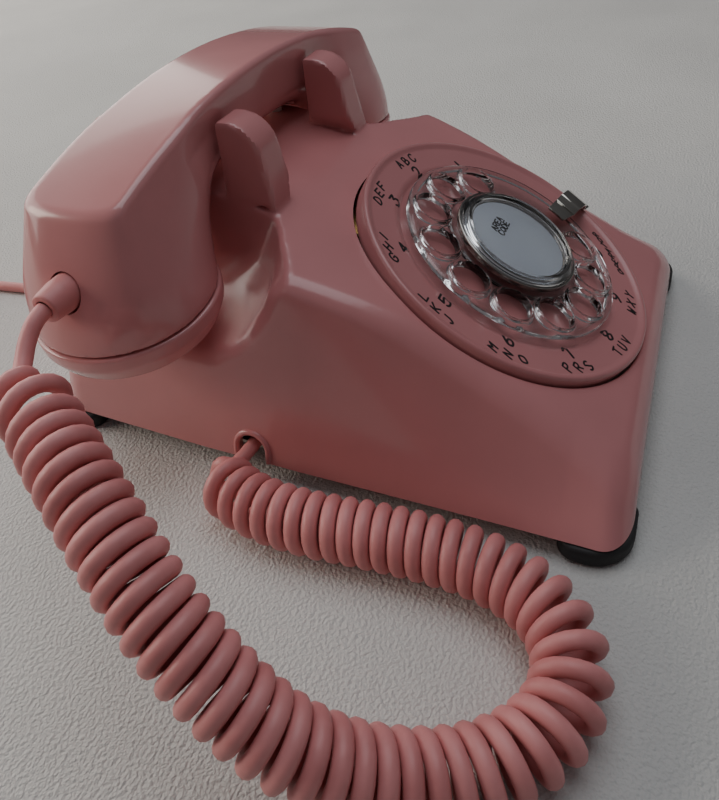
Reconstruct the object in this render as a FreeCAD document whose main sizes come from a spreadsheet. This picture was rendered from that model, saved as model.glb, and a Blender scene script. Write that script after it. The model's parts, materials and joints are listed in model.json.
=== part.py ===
# Rotary desk telephone: housing with four cradle horns, separate handset, outside number plate,
# curly handset cord and line cord. Millimetres. X to the user's right, Y to the back, Z up.
# The origin is the centre of the footprint, on the table.
import FreeCAD, Part
import Sketcher
import math
import os

V = FreeCAD.Vector
doc = FreeCAD.newDocument("desk_telephone")

# ---------------------------------------------------------------- driving dimensions
SIZES = [
    ("base_half_width", 83.5, "half the width of the housing at its bottom edge"),
    ("base_half_depth", 106.5, "half the depth of the housing"),
    ("skirt_bottom", 7.0, "height of the housing's bottom edge"),
    ("face_half_width", 63.5, "half the width of the dial face"),
    ("shoulder_top", 44.5, "height of the low shoulders under the caps"),
    ("deck_top", 86.0, "height of the cradle deck"),
    ("horn_top", 107.0, "height of the cradle horns"),
    ("wall", 3.0, "moulded wall of the housing"),
    ("foot_height", 6.5, "rubber foot height"),
    ("plate_thick", 1.4, "pressed steel base plate"),
    ("dial_y", -51.2, "centre of the number plate, front to back"),
    ("dial_z", 51.95, "centre of the number plate, height"),
    ("dial_tilt", 29.6, "slope of the dial face in degrees"),
    ("plate_radius", 57.0, "number plate, outside"),
    ("opening_radius", 57.8, "opening in the housing round the number plate"),
    ("wheel_radius", 41.0, "clear finger wheel"),
    ("wheel_thick", 2.4, "clear finger wheel"),
    ("hole_circle", 32.0, "circle of the ten finger holes"),
    ("hole_radius", 6.5, "finger hole"),
    ("collar_radius", 7.5, "raised collar round a finger hole"),
    ("cup_radius", 23.2, "dark metal cup at the middle of the wheel"),
    ("card_radius", 18.6, "paper number card"),
    ("shaft_radius", 4.0, "dial shaft"),
    ("gear_thick", 1.2, "dial gears"),
    ("gong_radius", 17.0, "ringer gong"),
    ("gong_height", 11.0, "ringer gong"),
    ("coil_radius", 7.5, "ringer coil"),
    ("handle_top", 116.0, "highest line of the handle"),
    ("handle_end_z", 100.5, "crease at each end of the handle's back face"),
    ("handle_half_length", 90.0, "half the length of the handle's back face"),
    ("handle_width", 34.0, "handle, front to back"),
    ("handset_y", 56.0, "middle plane of the handset"),
    ("cup_x", 77.0, "middle of each handset cup"),
    ("seam_z", 64.0, "seam between a cup and its cap"),
    ("cup_lean", 5.5, "lean of each cup's axis in degrees"),
    ("seam_radius", 30.0, "handset cup at the seam"),
    ("cap_radius", 30.5, "screwed cap"),
    ("cap_depth", 13.0, "screwed cap"),
    ("plunger_radius", 3.0, "switch-hook plunger"),
    ("plunger_x", 32.0, "each plunger from the middle"),
    ("cord_diameter", 4.9, "both cords, outside"),
    ("curl_diameter", 20.5, "curly cord, outside of the coil"),
]

sheet = doc.addObject("Spreadsheet::Sheet", "sizes")
for row, (alias, value, note) in enumerate(SIZES, 1):
    sheet.set("A%d" % row, note)
    sheet.set("B%d" % row, str(value))
    sheet.setAlias("B%d" % row, alias)
doc.recompute()


class Size:
    """A length that is both a number and the sheet expression that gives it."""

    def __init__(self, value, text):
        self.value = value
        self.text = text

    def __add__(self, other):
        return Size(self.value + number(other), "%s + (%s)" % (self.text, words(other)))

    def __sub__(self, other):
        return Size(self.value - number(other), "%s - (%s)" % (self.text, words(other)))

    def __mul__(self, factor):
        return Size(self.value * factor, "(%s) * (%s)" % (self.text, factor))

    def __neg__(self):
        return Size(-self.value, "-(%s)" % self.text)


def number(size):
    return size.value if isinstance(size, Size) else float(size)


def words(size):
    return size.text if isinstance(size, Size) else repr(float(size))


def cell(alias):
    return Size(float(sheet.get(alias)), "sizes." + alias)


def bind(obj, name, size):
    """Gives a property its value, through an expression where the value comes from the sheet."""
    if isinstance(size, Size):
        obj.setExpression(name, size.text)
    else:
        setattr(obj, name, size)


# ---------------------------------------------------------------- making shapes
nodes = []


def node(obj, label):
    """Marks an object as one piece of the telephone."""
    obj.Label = label
    nodes.append(obj)
    return obj


def counted(stem):
    return "%s_%03d" % (stem, len(doc.Objects))


def placed(x=0.0, y=0.0, z=0.0, axis=(0, 0, 1), angle=0.0, within=None):
    """A placement, in the world's axes or within another placement."""
    spot = FreeCAD.Placement(V(x, y, z), FreeCAD.Rotation(V(*axis), angle))
    return within.multiply(spot) if within else spot


def block(x, y, z, within=None):
    """A box from three (low, high) pairs."""
    box = doc.addObject("Part::Box", counted("block"))
    for name, (low, high) in (("Length", x), ("Width", y), ("Height", z)):
        if isinstance(high, Size):
            bind(box, name, high - low)
        elif isinstance(low, Size):
            bind(box, name, -low + high)
        else:
            bind(box, name, high - low)
    box.Placement = placed(number(x[0]), number(y[0]), number(z[0]), within=within)
    return box


def rod(radius, length, spot):
    """A cylinder along its own Z."""
    cylinder = doc.addObject("Part::Cylinder", counted("rod"))
    bind(cylinder, "Radius", radius)
    bind(cylinder, "Height", length)
    cylinder.Placement = spot
    return cylinder


def cone(low_radius, high_radius, length, spot):
    frustum = doc.addObject("Part::Cone", counted("cone"))
    bind(frustum, "Radius1", low_radius)
    bind(frustum, "Radius2", high_radius)
    bind(frustum, "Height", length)
    frustum.Placement = spot
    return frustum


def fused(*parts):
    union = doc.addObject("Part::MultiFuse", counted("fused"))
    union.Shapes = list(parts)
    return union


def cut(base, *tools):
    result = doc.addObject("Part::Cut", counted("cut"))
    result.Base = base
    result.Tool = tools[0] if len(tools) == 1 else fused(*tools)
    return result


def polygon_sketch(body, plane, corners):
    """A closed outline whose corners are held from the body's origin by the sheet."""
    sketch = body.newObject("Sketcher::SketchObject", counted("outline"))
    feature = [f for f in body.Origin.OriginFeatures if f.Role == plane][0]
    sketch.AttachmentSupport = [(feature, "")]
    sketch.MapMode = "FlatFace"
    spots = [V(number(a), number(b), 0) for a, b in corners]
    count = len(spots)
    for i in range(count):
        sketch.addGeometry(Part.LineSegment(spots[i], spots[(i + 1) % count]), False)
    for i in range(count):
        sketch.addConstraint(Sketcher.Constraint("Coincident", i, 2, (i + 1) % count, 1))
    for i, (a, b) in enumerate(corners):
        for kind, axis, size in (("DistanceX", -2, a), ("DistanceY", -1, b)):
            if abs(number(size)) < 1e-9:
                sketch.addConstraint(Sketcher.Constraint("PointOnObject", i, 1, axis))
                continue
            index = sketch.addConstraint(Sketcher.Constraint(kind, -1, 1, i, 1, number(size)))
            if isinstance(size, Size):
                sketch.setExpression("Constraints[%d]" % index, size.text)
    return sketch


def turned(outline, spot):
    """A body turned about its own Z from (radius, height) corners."""
    body = doc.addObject("PartDesign::Body", counted("turned"))
    sketch = polygon_sketch(body, "XZ_Plane", outline)
    turn = body.newObject("PartDesign::Revolution", counted("turn"))
    turn.Profile = sketch
    turn.ReferenceAxis = (sketch, ["V_Axis"])
    turn.Angle = 360.0
    body.Placement = spot
    return body


def pressed(corners, thickness, spot, plane="XY_Plane"):
    """A body padded from a flat outline."""
    body = doc.addObject("PartDesign::Body", counted("pressed"))
    pad = body.newObject("PartDesign::Pad", counted("pad"))
    pad.Profile = polygon_sketch(body, plane, corners)
    bind(pad, "Length", thickness)
    body.Placement = spot
    return body


def gear(teeth, pitch_radius, thickness, spot, root=0.9, tip=0.55):
    """A spur gear: a padded disc and one padded tooth, repeated round it."""
    body = doc.addObject("PartDesign::Body", counted("gear"))
    disc = body.newObject("Sketcher::SketchObject", counted("disc"))
    plane = [f for f in body.Origin.OriginFeatures if f.Role == "XY_Plane"][0]
    disc.AttachmentSupport = [(plane, "")]
    disc.MapMode = "FlatFace"
    disc.addGeometry(Part.Circle(V(0, 0, 0), V(0, 0, 1), pitch_radius - root), False)
    disc.addConstraint(Sketcher.Constraint("Coincident", 0, 3, -1, 1))
    disc.addConstraint(Sketcher.Constraint("Radius", 0, pitch_radius - root))
    pad = body.newObject("PartDesign::Pad", counted("pad"))
    pad.Profile = disc
    bind(pad, "Length", thickness)
    half_pitch = math.pi * pitch_radius / teeth / 2
    low, high = half_pitch * 0.62, half_pitch * 0.28
    foot = pitch_radius - root - 0.25
    crown = pitch_radius + tip
    tooth = body.newObject("PartDesign::Pad", counted("tooth"))
    corners = [(foot, -low), (crown, -high), (crown, high), (foot, low)]
    tooth.Profile = polygon_sketch(body, "XY_Plane", corners)
    bind(tooth, "Length", thickness)
    ring = body.newObject("PartDesign::PolarPattern", counted("teeth"))
    ring.Originals = [tooth]
    ring.Axis = (disc, ["N_Axis"])
    ring.Angle = 360.0
    ring.Occurrences = teeth
    body.Tip = ring
    body.Placement = spot
    return body


def solid(shape):
    """A piece whose shape neither a body nor a primitive gives."""
    feature = doc.addObject("Part::Feature", counted("solid"))
    feature.Shape = shape
    return feature


# ---------------------------------------------------------------- places
TILT = number(cell("dial_tilt"))
DIAL = placed(0, number(cell("dial_y")), number(cell("dial_z")), (1, 0, 0), TILT)
DIGIT_ONE = 45.0
DIGIT_STEP = 30.0
STOP_ANGLE = -17.5
MAIN_RADIUS = 20.0
MIDDLE_GEAR = (25.0 * math.cos(math.radians(-150.0)), 25.0 * math.sin(math.radians(-150.0)))
GOVERNOR = (MIDDLE_GEAR[0] + 13.333 * math.cos(math.radians(-60.0)),
            MIDDLE_GEAR[1] + 13.333 * math.sin(math.radians(-60.0)))
MIDDLE_TURN = 30.0
GOVERNOR_TURN = 30.0
PIVOT_X, PIVOT_Y = 33.0, 44.0
WHEEL_AXLE = (38.0, 84.0, 14.6)
LEVER_AXLE = (75.0, 56.0)
PLUNGER_TOP = 88.3
BUSHING_X = -107.7
BUSHING_Z = 79.8


def on_dial(radius=0.0, angle=0.0, height=0.0):
    """A spot on the dial, in polar terms, its own Z along the dial's axis."""
    turn = math.radians(angle)
    return placed(radius * math.cos(turn), radius * math.sin(turn), height, within=DIAL)


def at_cup(side, height=0.0):
    """A spot on the axis of the left (-1) or right (1) handset cup, from the seam upwards."""
    seam = placed(side * number(cell("cup_x")), number(cell("handset_y")), number(cell("seam_z")),
                  (0, 1, 0), side * number(cell("cup_lean")))
    return placed(0, 0, height, within=seam)


# ---------------------------------------------------------------- housing
def section(y, low, half_low, high, half_high):
    """A four-cornered cross-section of the housing, square to Y."""
    corners = [V(-half_low, y, low), V(half_low, y, low), V(half_high, y, high), V(-half_high, y, high)]
    return Part.makePolygon(corners + corners[:1])


def plan(half_width, front, back, z):
    """A level four-cornered outline."""
    spots = [(-half_width, front), (half_width, front), (half_width, back), (-half_width, back)]
    corners = [V(x, y, z) for x, y in spots]
    return Part.makePolygon(corners + corners[:1])


def face_height(y):
    """Height of the dial face over the table at a place front to back."""
    slope = math.tan(math.radians(TILT))
    drop = 2.0 / math.cos(math.radians(TILT))
    return number(cell("dial_z")) - drop + (y - number(cell("dial_y"))) * slope


def housing_block(inset):
    """The outer form of the housing, or its hollow when drawn in by the wall."""
    width = number(cell("base_half_width")) - inset
    depth = number(cell("base_half_depth")) - inset
    face = number(cell("face_half_width")) - inset
    low = number(cell("skirt_bottom")) - (2.0 if inset else 0.0)
    shoulder = number(cell("shoulder_top")) - inset
    deck = number(cell("deck_top")) - inset
    y_face_low = -depth + 6.5
    y_face_high = 18.0 - inset
    front = Part.makeLoft([
        section(-depth, low, width - 4.0, 17.0 - inset, face + 3.0),
        section(y_face_low, low, width, face_height(y_face_low) - inset, face + 2.0),
        section(-60.0, low, width, face_height(-60.0) - inset, face),
        section(0.0, low, width + 0.5, face_height(0.0) - inset, face + 4.0),
        section(y_face_high, low, width + 0.5, deck, face + 2.0),
    ], True, True)
    rear = Part.makeLoft([
        section(0.0, low, width + 0.5, shoulder, width - 8.0),
        section(depth - 12.0, low, width - 0.5, shoulder, width - 9.0),
        section(depth, low, width - 5.0, shoulder - 14.0, width - 12.0),
    ], True, True)
    column = Part.makeLoft([
        plan(44.0 - inset, 10.0, 98.0 - inset, 30.0),
        plan(39.0 - inset, 12.0, 93.0 - inset, deck),
    ], True, True)
    for side in (-1, 1):
        centre = V(side * number(cell("cup_x")), number(cell("handset_y")), shoulder)
        front = front.cut(Part.makeCone(36.0 + inset, 66.0 + inset, 64.0, centre))
    return front.fuse([rear, column]).removeSplitter()


def horn(side, back):
    """One cradle horn, a tapered post with a narrow crest."""
    deck = number(cell("deck_top")) - 5.0
    top = number(cell("horn_top"))
    low_y = (76.0, 93.0) if back else (13.5, 37.5)
    high_y = (77.5, 90.0) if back else (25.0, 36.5)

    def ring(x_near, x_far, span, z):
        corners = [V(side * x_near, span[0], z), V(side * x_far, span[0], z),
                   V(side * x_far, span[1], z), V(side * x_near, span[1], z)]
        return Part.makePolygon(corners + corners[:1])

    return Part.makeLoft([ring(22.0, 40.0, low_y, deck), ring(25.6, 38.2, high_y, top)], True, True)


def make_housing():
    shell = housing_block(0.0).cut(housing_block(number(cell("wall"))))
    shell = shell.fuse([horn(side, back) for side in (-1, 1) for back in (False, True)])
    shell_solid = solid(shell)
    opening = rod(cell("opening_radius"), 30.0, on_dial(height=-12.0))
    clear_above = rod(cell("opening_radius"), 20.0, on_dial(height=0.0))
    plunger_x, plunger_y = number(cell("plunger_x")), number(cell("handset_y"))
    plunger_holes = [rod(cell("plunger_radius") + 0.4, 14.0, placed(side * plunger_x, plunger_y, 78.0))
                     for side in (-1, 1)]
    notch = fused(block((-95.0, -70.0), (11.0, 22.0), (4.0, 11.5)),
                  rod(5.5, 25.0, placed(-95.0, 16.5, 11.5, (0, 1, 0), 90.0)))
    line_notch = fused(block((-13.5, -6.5), (95.0, 112.0), (4.0, 10.5)),
                       rod(3.5, 17.0, placed(-10.0, 112.0, 10.5, (1, 0, 0), 90.0)))
    grip = block((-30.0, 30.0), (84.0, 112.0), (54.0, 72.0))
    pocket_walls = solid(housing_block(0.0).common(Part.makeBox(66, 16, 24, V(-33, 81, 51))))
    openings = [opening, clear_above, *plunger_holes, notch, line_notch, grip]
    return node(cut(fused(shell_solid, pocket_walls), *openings), "housing")


# ---------------------------------------------------------------- base
def make_base():
    low = number(cell("foot_height"))
    top = low + number(cell("plate_thick"))
    screw_spots = (-90.0, 90.0)
    plate = block((-77.5, 77.5), (-97.0, 97.0), (low, cell("plate_thick") + low))
    wheel_slot = block((34.5, 41.5), (72.0, 96.0), (0.0, 20.0))
    holes = [rod(2.2, 6.0, placed(0.0, y, 4.0)) for y in screw_spots]
    node(cut(plate, wheel_slot, *holes), "base_plate")
    for end, dy in (("front", -1), ("rear", 1)):
        for hand, dx in (("left", -1), ("right", 1)):
            corners = [(58.0, 84.0), (85.0, 84.0), (85.0, 99.5),
                       (82.5, 104.0), (78.0, 106.5), (58.0, 106.5)]
            outline = [(dx * x, dy * y) for x, y in corners]
            node(pressed(outline, cell("foot_height"), placed()), "foot_%s_%s" % (end, hand))
    screws = []
    for y in screw_spots:
        screws.append(rod(4.0, 2.0, placed(0.0, y, low - 2.0)))
        screws.append(rod(2.2, number(cell("plate_thick")) + 4.0, placed(0.0, y, low)))
    node(fused(*screws), "housing_screws")
    return top


# ---------------------------------------------------------------- dial, fixed pieces
def make_number_plate():
    outer = cell("plate_radius")
    outline = [
        (14.0, -2.2), (42.4, -2.2), (44.0, -0.9), (outer - 3.0, -0.3),
        (outer - 2.2, 0.6), (outer - 0.8, 0.9), (outer, 0.0), (outer, -6.0),
        (outer - 1.4, -6.0), (outer - 1.4, -1.8), (43.4, -2.4), (41.8, -3.6), (14.0, -3.6),
    ]
    node(turned(outline, DIAL), "number_plate")


def make_dial_frame(base_top):
    disc = rod(34.0, 1.5, on_dial(height=-9.5))
    ears = [block((26.0, 40.0), (-6.0, 6.0), (-9.5, -8.0), DIAL),
            block((-40.0, -26.0), (-6.0, 6.0), (-9.5, -8.0), DIAL)]
    posts = [rod(2.5, 4.4, on_dial(26.0, angle, -8.0)) for angle in (30.0, 150.0, 270.0)]
    bores = [rod(cell("shaft_radius") + 0.06, 6.0, on_dial(height=-12.0)),
             rod(1.56, 6.0, placed(*MIDDLE_GEAR, -12.0, within=DIAL)),
             rod(1.26, 6.0, placed(*GOVERNOR, -12.0, within=DIAL))]
    node(cut(fused(disc, *ears, *posts), *bores), "dial_frame")
    corners = []
    for across in (6.0, -6.0):
        spot = DIAL.multVec(V(36.0, across, -9.5))
        corners.append((spot.y, spot.z))
    outline = [(-57.0, base_top), (-36.0, base_top), corners[0], corners[1]]
    legs = [pressed(outline, 2.0, placed(x, 0, 0, (0, 0, 1), 0.0), "YZ_Plane") for x in (35.0, -37.0)]
    node(fused(*legs), "dial_brackets")
    screws = [rod(2.6, 1.6, placed(x, 0, -8.0, within=DIAL)) for x in (36.0, -36.0)]
    node(fused(*screws), "dial_screws")


def make_finger_stop():
    radial = placed(0, 0, 0, (0, 0, 1), STOP_ANGLE, DIAL)
    lip = [(31.5, 5.0), (31.5, 4.2), (42.4, 4.2), (42.4, 7.4), (53.2, 7.4), (53.2, 1.2),
           (58.0, 1.2), (58.0, 2.0), (54.0, 2.0), (54.0, 8.2), (41.6, 8.2), (41.6, 5.0)]
    hook = pressed(lip, 9.0, placed(0, 4.5, 0, within=radial), "XZ_Plane")
    node(hook, "finger_stop")


def make_dial_works():
    cup_outline = [(8.6, -17.2), (9.4, -17.2), (9.4, -25.0), (1.5, -25.0), (1.5, -24.2), (8.6, -24.2)]
    node(turned(cup_outline, placed(*GOVERNOR, 0, within=DIAL)), "governor_cup")
    pack = [(4.6, -4.0), (10.5, -4.0), (10.5, -7.9), (4.6, -7.9)]
    node(turned(pack, DIAL), "dial_return_spring")
    leaves = [block((-14.0, 14.0), (22.0 + 1.6 * k, 22.4 + 1.6 * k), (-22.0, -14.0), DIAL)
              for k in range(4)]
    holder = block((6.0, 14.0), (21.0, 28.4), (-22.0, -9.5), DIAL)
    node(fused(*leaves, holder), "pulse_springs")


def make_dial_rotor():
    thick = cell("wheel_thick")
    wheel_low = 0.5
    bore, rim = cell("shaft_radius"), cell("wheel_radius")
    wheel = turned([(bore, wheel_low), (rim, wheel_low), (rim, thick + wheel_low - 0.6),
                    (rim - 0.8, thick + wheel_low), (bore, thick + wheel_low)], DIAL)
    collars = []
    holes = []
    for digit in range(10):
        angle = DIGIT_ONE + DIGIT_STEP * digit
        spot = on_dial(number(cell("hole_circle")), angle, wheel_low + 1.0)
        collars.append(rod(cell("collar_radius"), 2.1, spot))
        holes.append(rod(cell("hole_radius"), 8.0, on_dial(number(cell("hole_circle")), angle, -1.0)))
    node(cut(fused(wheel, *collars), *holes), "finger_wheel")
    top = wheel_low + number(thick)
    cup = cell("cup_radius")
    node(turned([(0, top), (cup - 1.0, top), (cup, top + 1.0), (cup, top + 2.6), (cup - 0.8, top + 2.6),
                 (cup - 0.8, top + 1.2), (0, top + 1.2)], DIAL), "wheel_centre_cup")
    card_low = top + 1.2
    node(rod(cell("card_radius"), 0.4, on_dial(height=card_low)), "number_card")
    card = cell("card_radius")
    card_top = card_low + 0.4
    retainer_top = card_low + 3.6
    node(turned([(card + 0.2, card_low), (card + 3.4, card_low), (card + 3.4, card_low + 2.0),
                 (card + 1.6, retainer_top), (0, retainer_top), (0, card_top), (card + 0.2, card_top)],
                DIAL), "card_retainer")
    node(rod(cell("shaft_radius"), 23.0 + number(thick) + wheel_low, on_dial(height=-23.0)), "dial_shaft")
    main = gear(60, MAIN_RADIUS, cell("gear_thick"), on_dial(height=-13.0))
    node(cut(main, rod(cell("shaft_radius"), 4.0, on_dial(height=-14.0))), "dial_main_gear")
    cam = fused(rod(9.0, 2.0, on_dial(height=-18.0)), block((0, 12.0), (-3.0, 3.0), (-18.0, -16.0), DIAL))
    node(cut(cam, rod(cell("shaft_radius"), 4.0, on_dial(height=-19.0))), "pulse_cam")


def make_gear_train():
    turn = 360.0 / 15 / 2
    middle = placed(*MIDDLE_GEAR, 0, within=DIAL)
    pinion = gear(15, MAIN_RADIUS / 4, 2.0, placed(0, 0, -13.4, (0, 0, 1), turn + MIDDLE_TURN, middle))
    wheel = gear(30, MAIN_RADIUS / 2, cell("gear_thick"), placed(0, 0, -16.0, within=middle))
    arbor = rod(1.5, 9.0, placed(0, 0, -17.0, within=middle))
    node(cut(pinion, rod(1.5, 4.0, placed(0, 0, -14.0, within=middle))), "middle_pinion")
    node(fused(wheel, arbor), "middle_gear")
    last = placed(*GOVERNOR, 0, within=DIAL)
    small = gear(10, MAIN_RADIUS / 6, 2.0, placed(0, 0, -16.4, (0, 0, 1), GOVERNOR_TURN, last))
    spindle = rod(1.2, 15.8, placed(0, 0, -23.8, within=last))
    node(fused(small, spindle), "governor_spindle")
    weights = [block((1.2, 7.4), (-1.8, 1.8), (-22.6, -18.2), last),
               block((-7.4, -1.2), (-1.8, 1.8), (-22.6, -18.2), last)]
    node(fused(*weights), "governor_weights")


# ---------------------------------------------------------------- inside the base
def make_network(base_top):
    node(block((-70.0, -16.0), (24.0, 78.0), (base_top, 36.0)), "network_block")
    screws = []
    for row in range(2):
        for place in range(5):
            screws.append(rod(2.2, 2.4, placed(-64.0 + row * 42.0, 31.0 + place * 10.0, 36.0)))
    node(fused(*screws), "network_terminals")


def make_ringer(base_top):
    gong_y, gong_xs = 20.0, (13.0, 53.0)
    floor = base_top + 1.6
    frame = [block((8.0, 60.0), (12.0, 70.0), (base_top, floor))]
    frame.append(block((24.0, 42.0), (66.0, 68.0), (floor, 30.0)))
    frame.append(rod(1.4, 26.0 - floor, placed(PIVOT_X, PIVOT_Y, floor)))
    frame += [rod(3.0, 22.0 - floor, placed(x, gong_y, floor)) for x in gong_xs]
    node(fused(*frame), "ringer_frame")
    coil_spots = [placed(x, 66.0, 20.0, (1, 0, 0), 90.0) for x in (24.5, 41.5)]
    node(fused(*[rod(cell("coil_radius"), 14.0, spot) for spot in coil_spots]), "ringer_coils")
    node(block((44.0, 58.0), (66.5, 69.5), (floor, 30.0)), "ringer_magnet")
    radius, tall = cell("gong_radius"), cell("gong_height")
    shell = [(3.2, tall), (radius - 4.0, tall), (radius, tall - 5.0), (radius, 0.0), (radius - 1.2, 0.0),
             (radius - 1.2, tall - 5.4), (radius - 4.6, tall - 1.2), (3.2, tall - 1.2)]
    for x, label in zip(gong_xs, ("gong_low", "gong_high")):
        node(turned(shell, placed(x, gong_y, 20.5)), label)
    screws = [fused(rod(5.5, 1.5, placed(x, gong_y, 31.5)), rod(3.0, 9.5, placed(x, gong_y, 22.0)))
              for x in gong_xs]
    node(fused(*screws), "gong_screws")
    hub = cut(rod(3.2, 6.0, placed(PIVOT_X, PIVOT_Y, 17.5)), rod(1.46, 8.0, placed(PIVOT_X, PIVOT_Y, 16.5)))
    arm = block((PIVOT_X - 0.7, PIVOT_X + 0.7), (gong_y, PIVOT_Y - 2.6), (22.0, 23.4))
    ball = rod(2.0, 4.0, placed(PIVOT_X, gong_y, 21.0))
    armature = block((PIVOT_X - 13.0, PIVOT_X + 13.0), (PIVOT_Y + 1.8, PIVOT_Y + 3.8), (17.5, 22.5))
    tie = block((PIVOT_X - 1.5, PIVOT_X + 1.5), (PIVOT_Y - 2.9, PIVOT_Y - 1.8), (21.5, 23.4))
    node(fused(hub, arm, ball, armature, tie), "ringer_clapper")


def make_volume_wheel(base_top):
    x, y, z = WHEEL_AXLE
    spot = placed(x - 2.0, y, z, (0, 1, 0), 90.0)
    wheel = cut(rod(9.5, 4.0, spot), rod(1.56, 6.0, placed(x - 3.0, y, z, (0, 1, 0), 90.0)))
    notches = []
    for k in range(20):
        turn = math.radians(18.0 * k)
        rim_y, rim_z = y + 9.6 * math.cos(turn), z + 9.6 * math.sin(turn)
        notches.append(rod(0.9, 8.0, placed(x - 4.0, rim_y, rim_z, (0, 1, 0), 90.0)))
    node(cut(wheel, *notches), "volume_wheel")
    cheeks = [block((x - 5.6, x - 4.0), (y - 5.0, y + 5.0), (base_top, z + 5.0)),
              block((x + 4.0, x + 5.6), (y - 5.0, y + 5.0), (base_top, z + 5.0))]
    node(fused(*cheeks, rod(1.5, 11.2, placed(x - 5.6, y, z, (0, 1, 0), 90.0))), "volume_wheel_bracket")


def make_hook_switch(base_top):
    y, z = LEVER_AXLE
    ears = [block((x, x + 2.0), (y - 4.0, y + 4.0), (base_top, z + 4.0)) for x in (-16.0, 14.0)]
    foot = block((-16.0, 16.0), (y - 4.0, y + 4.0), (base_top, base_top + 1.6))
    bore = rod(1.56, 60.0, placed(-30.0, y, z, (0, 1, 0), 90.0))
    node(cut(fused(foot, *ears), bore), "hook_switch_bracket")
    stack = [block((-6.0 + 2.4 * k, -5.4 + 2.4 * k), (56.0, 68.0), (base_top + 8.0, 54.0))
             for k in range(6)]
    holder = block((-8.0, 8.0), (56.0, 68.0), (base_top, base_top + 14.0))
    node(fused(holder, *stack), "hook_switch_springs")
    pin = rod(1.5, 66.0, placed(-33.0, y, z, (0, 1, 0), 90.0))
    arms = [block((x, x + 6.0), (52.0, y + 1.0), (z - 0.8, z + 0.8)) for x in (-35.0, 29.0)]
    tie = block((-29.0, 29.0), (60.0, 64.0), (z - 0.8, z + 0.8))
    node(fused(pin, tie, *arms), "hook_lever")
    for side, hand in ((-1, "left"), (1, "right")):
        x = side * number(cell("plunger_x"))
        mid = number(cell("handset_y"))
        post = fused(rod(cell("plunger_radius"), PLUNGER_TOP - z - 1.2, placed(x, mid, z + 1.2)),
                     rod(4.2, 2.0, placed(x, mid, 70.0)))
        node(post, "plunger_%s" % hand)


# ---------------------------------------------------------------- handset
def arch(half, end_z, mid_z):
    """Arc in the X-Z plane from one end of the handle to the other."""
    return Part.Arc(V(-half, 0, end_z), V(0, 0, mid_z), V(half, 0, end_z)).toShape()


def make_handset():
    half = number(cell("handle_half_length"))
    top, end_z = number(cell("handle_top")), number(cell("handle_end_z"))
    belly_half, belly_z, belly_mid = 52.0, end_z - 15.5, top - 25.0
    edges = [
        arch(half, end_z, top),
        Part.LineSegment(V(half, 0, end_z), V(half + 4.0, 0, end_z - 12.0)).toShape(),
        Part.LineSegment(V(half + 4.0, 0, end_z - 12.0), V(belly_half, 0, belly_z)).toShape(),
        arch(belly_half, belly_z, belly_mid),
        Part.LineSegment(V(-belly_half, 0, belly_z), V(-half - 4.0, 0, end_z - 12.0)).toShape(),
        Part.LineSegment(V(-half - 4.0, 0, end_z - 12.0), V(-half, 0, end_z)).toShape(),
    ]
    profile = Part.Face(Part.Wire(Part.__sortEdges__(edges)))
    width, mid = number(cell("handle_width")), number(cell("handset_y"))
    bar = profile.extrude(V(0, width, 0))
    bar.translate(V(0, mid - width / 2, 0))
    beam = solid(bar)
    cups = [cone(cell("seam_radius"), 12.5, 34.0, at_cup(side)) for side in (-1, 1)]
    pockets = [cone(26.5, 14.0, 18.0, at_cup(side)) for side in (-1, 1)]
    cord_hole = rod(5.5, 24.0, placed(BUSHING_X - 2.0, mid, BUSHING_Z, (0, 1, 0), 90.0))
    node(cut(fused(beam, *cups), *pockets, cord_hole), "handset_handle")
    radius, depth = cell("cap_radius"), cell("cap_depth")
    for side, label in ((-1, "transmitter_cap"), (1, "receiver_cap")):
        outline = [(0, -depth), (radius - 9.0, -depth), (radius - 2.5, -depth + 3.0),
                   (radius, -depth + 8.0), (radius, 0), (radius - 4.0, 0),
                   (radius - 4.0, -depth + 5.0), (radius - 10.0, -depth + 2.4), (0, -depth + 2.4)]
        node(turned(outline, at_cup(side)), label)
    for side, label in ((-1, "transmitter_unit"), (1, "receiver_unit")):
        node(fused(rod(24.0, 6.0, at_cup(side, -6.5)), rod(18.0, 5.0, at_cup(side, -0.5))), label)
    node(rod(15.0, 3.0, at_cup(-1, 6.0)), "transmitter_contact_cup")
    bush = [(2.6, 0), (5.5, 0), (5.5, 9.0), (4.0, 16.5), (2.6, 16.5)]
    node(turned(bush, placed(BUSHING_X + 16.5, mid, BUSHING_Z, (0, 1, 0), -90.0)), "handset_cord_bushing")


# ---------------------------------------------------------------- cords
def rounded_path(points):
    """Straight runs joined by tangent arcs, each as large as its two runs allow."""
    edges = []
    radii = []
    start = points[0]
    for before, corner, after in zip(points, points[1:], points[2:]):
        back, ahead = before - corner, after - corner
        turn = math.pi - back.getAngle(ahead)
        reach = 0.45 * min(back.Length, ahead.Length)
        radii.append(reach / math.tan(turn / 2))
        back.normalize()
        ahead.normalize()
        arc_start, arc_end = corner + back * reach, corner + ahead * reach
        middle = back + ahead
        middle.normalize()
        sagitta = radii[-1] / math.cos(turn / 2) - radii[-1]
        edges.append(Part.LineSegment(start, arc_start).toShape())
        edges.append(Part.Arc(arc_start, corner + middle * sagitta, arc_end).toShape())
        start = arc_end
    edges.append(Part.LineSegment(start, points[-1]).toShape())
    return Part.Wire(edges), radii


def tube(label, route, diameter):
    """A round cord swept along its route."""
    points = [V(*spot) for spot in route]
    path, radii = rounded_path(points)
    ring = Part.Wire([Part.makeCircle(diameter / 2, points[0], points[1] - points[0])])
    shape = path.makePipeShell([ring], True, False)
    expected = math.pi * diameter ** 2 / 4 * path.Length
    print("%s: length %.0f, smallest radius %.1f, volume ratio %.4f"
          % (label, path.Length, min(radii), shape.Volume / expected))
    return node(solid(shape), label)


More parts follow.
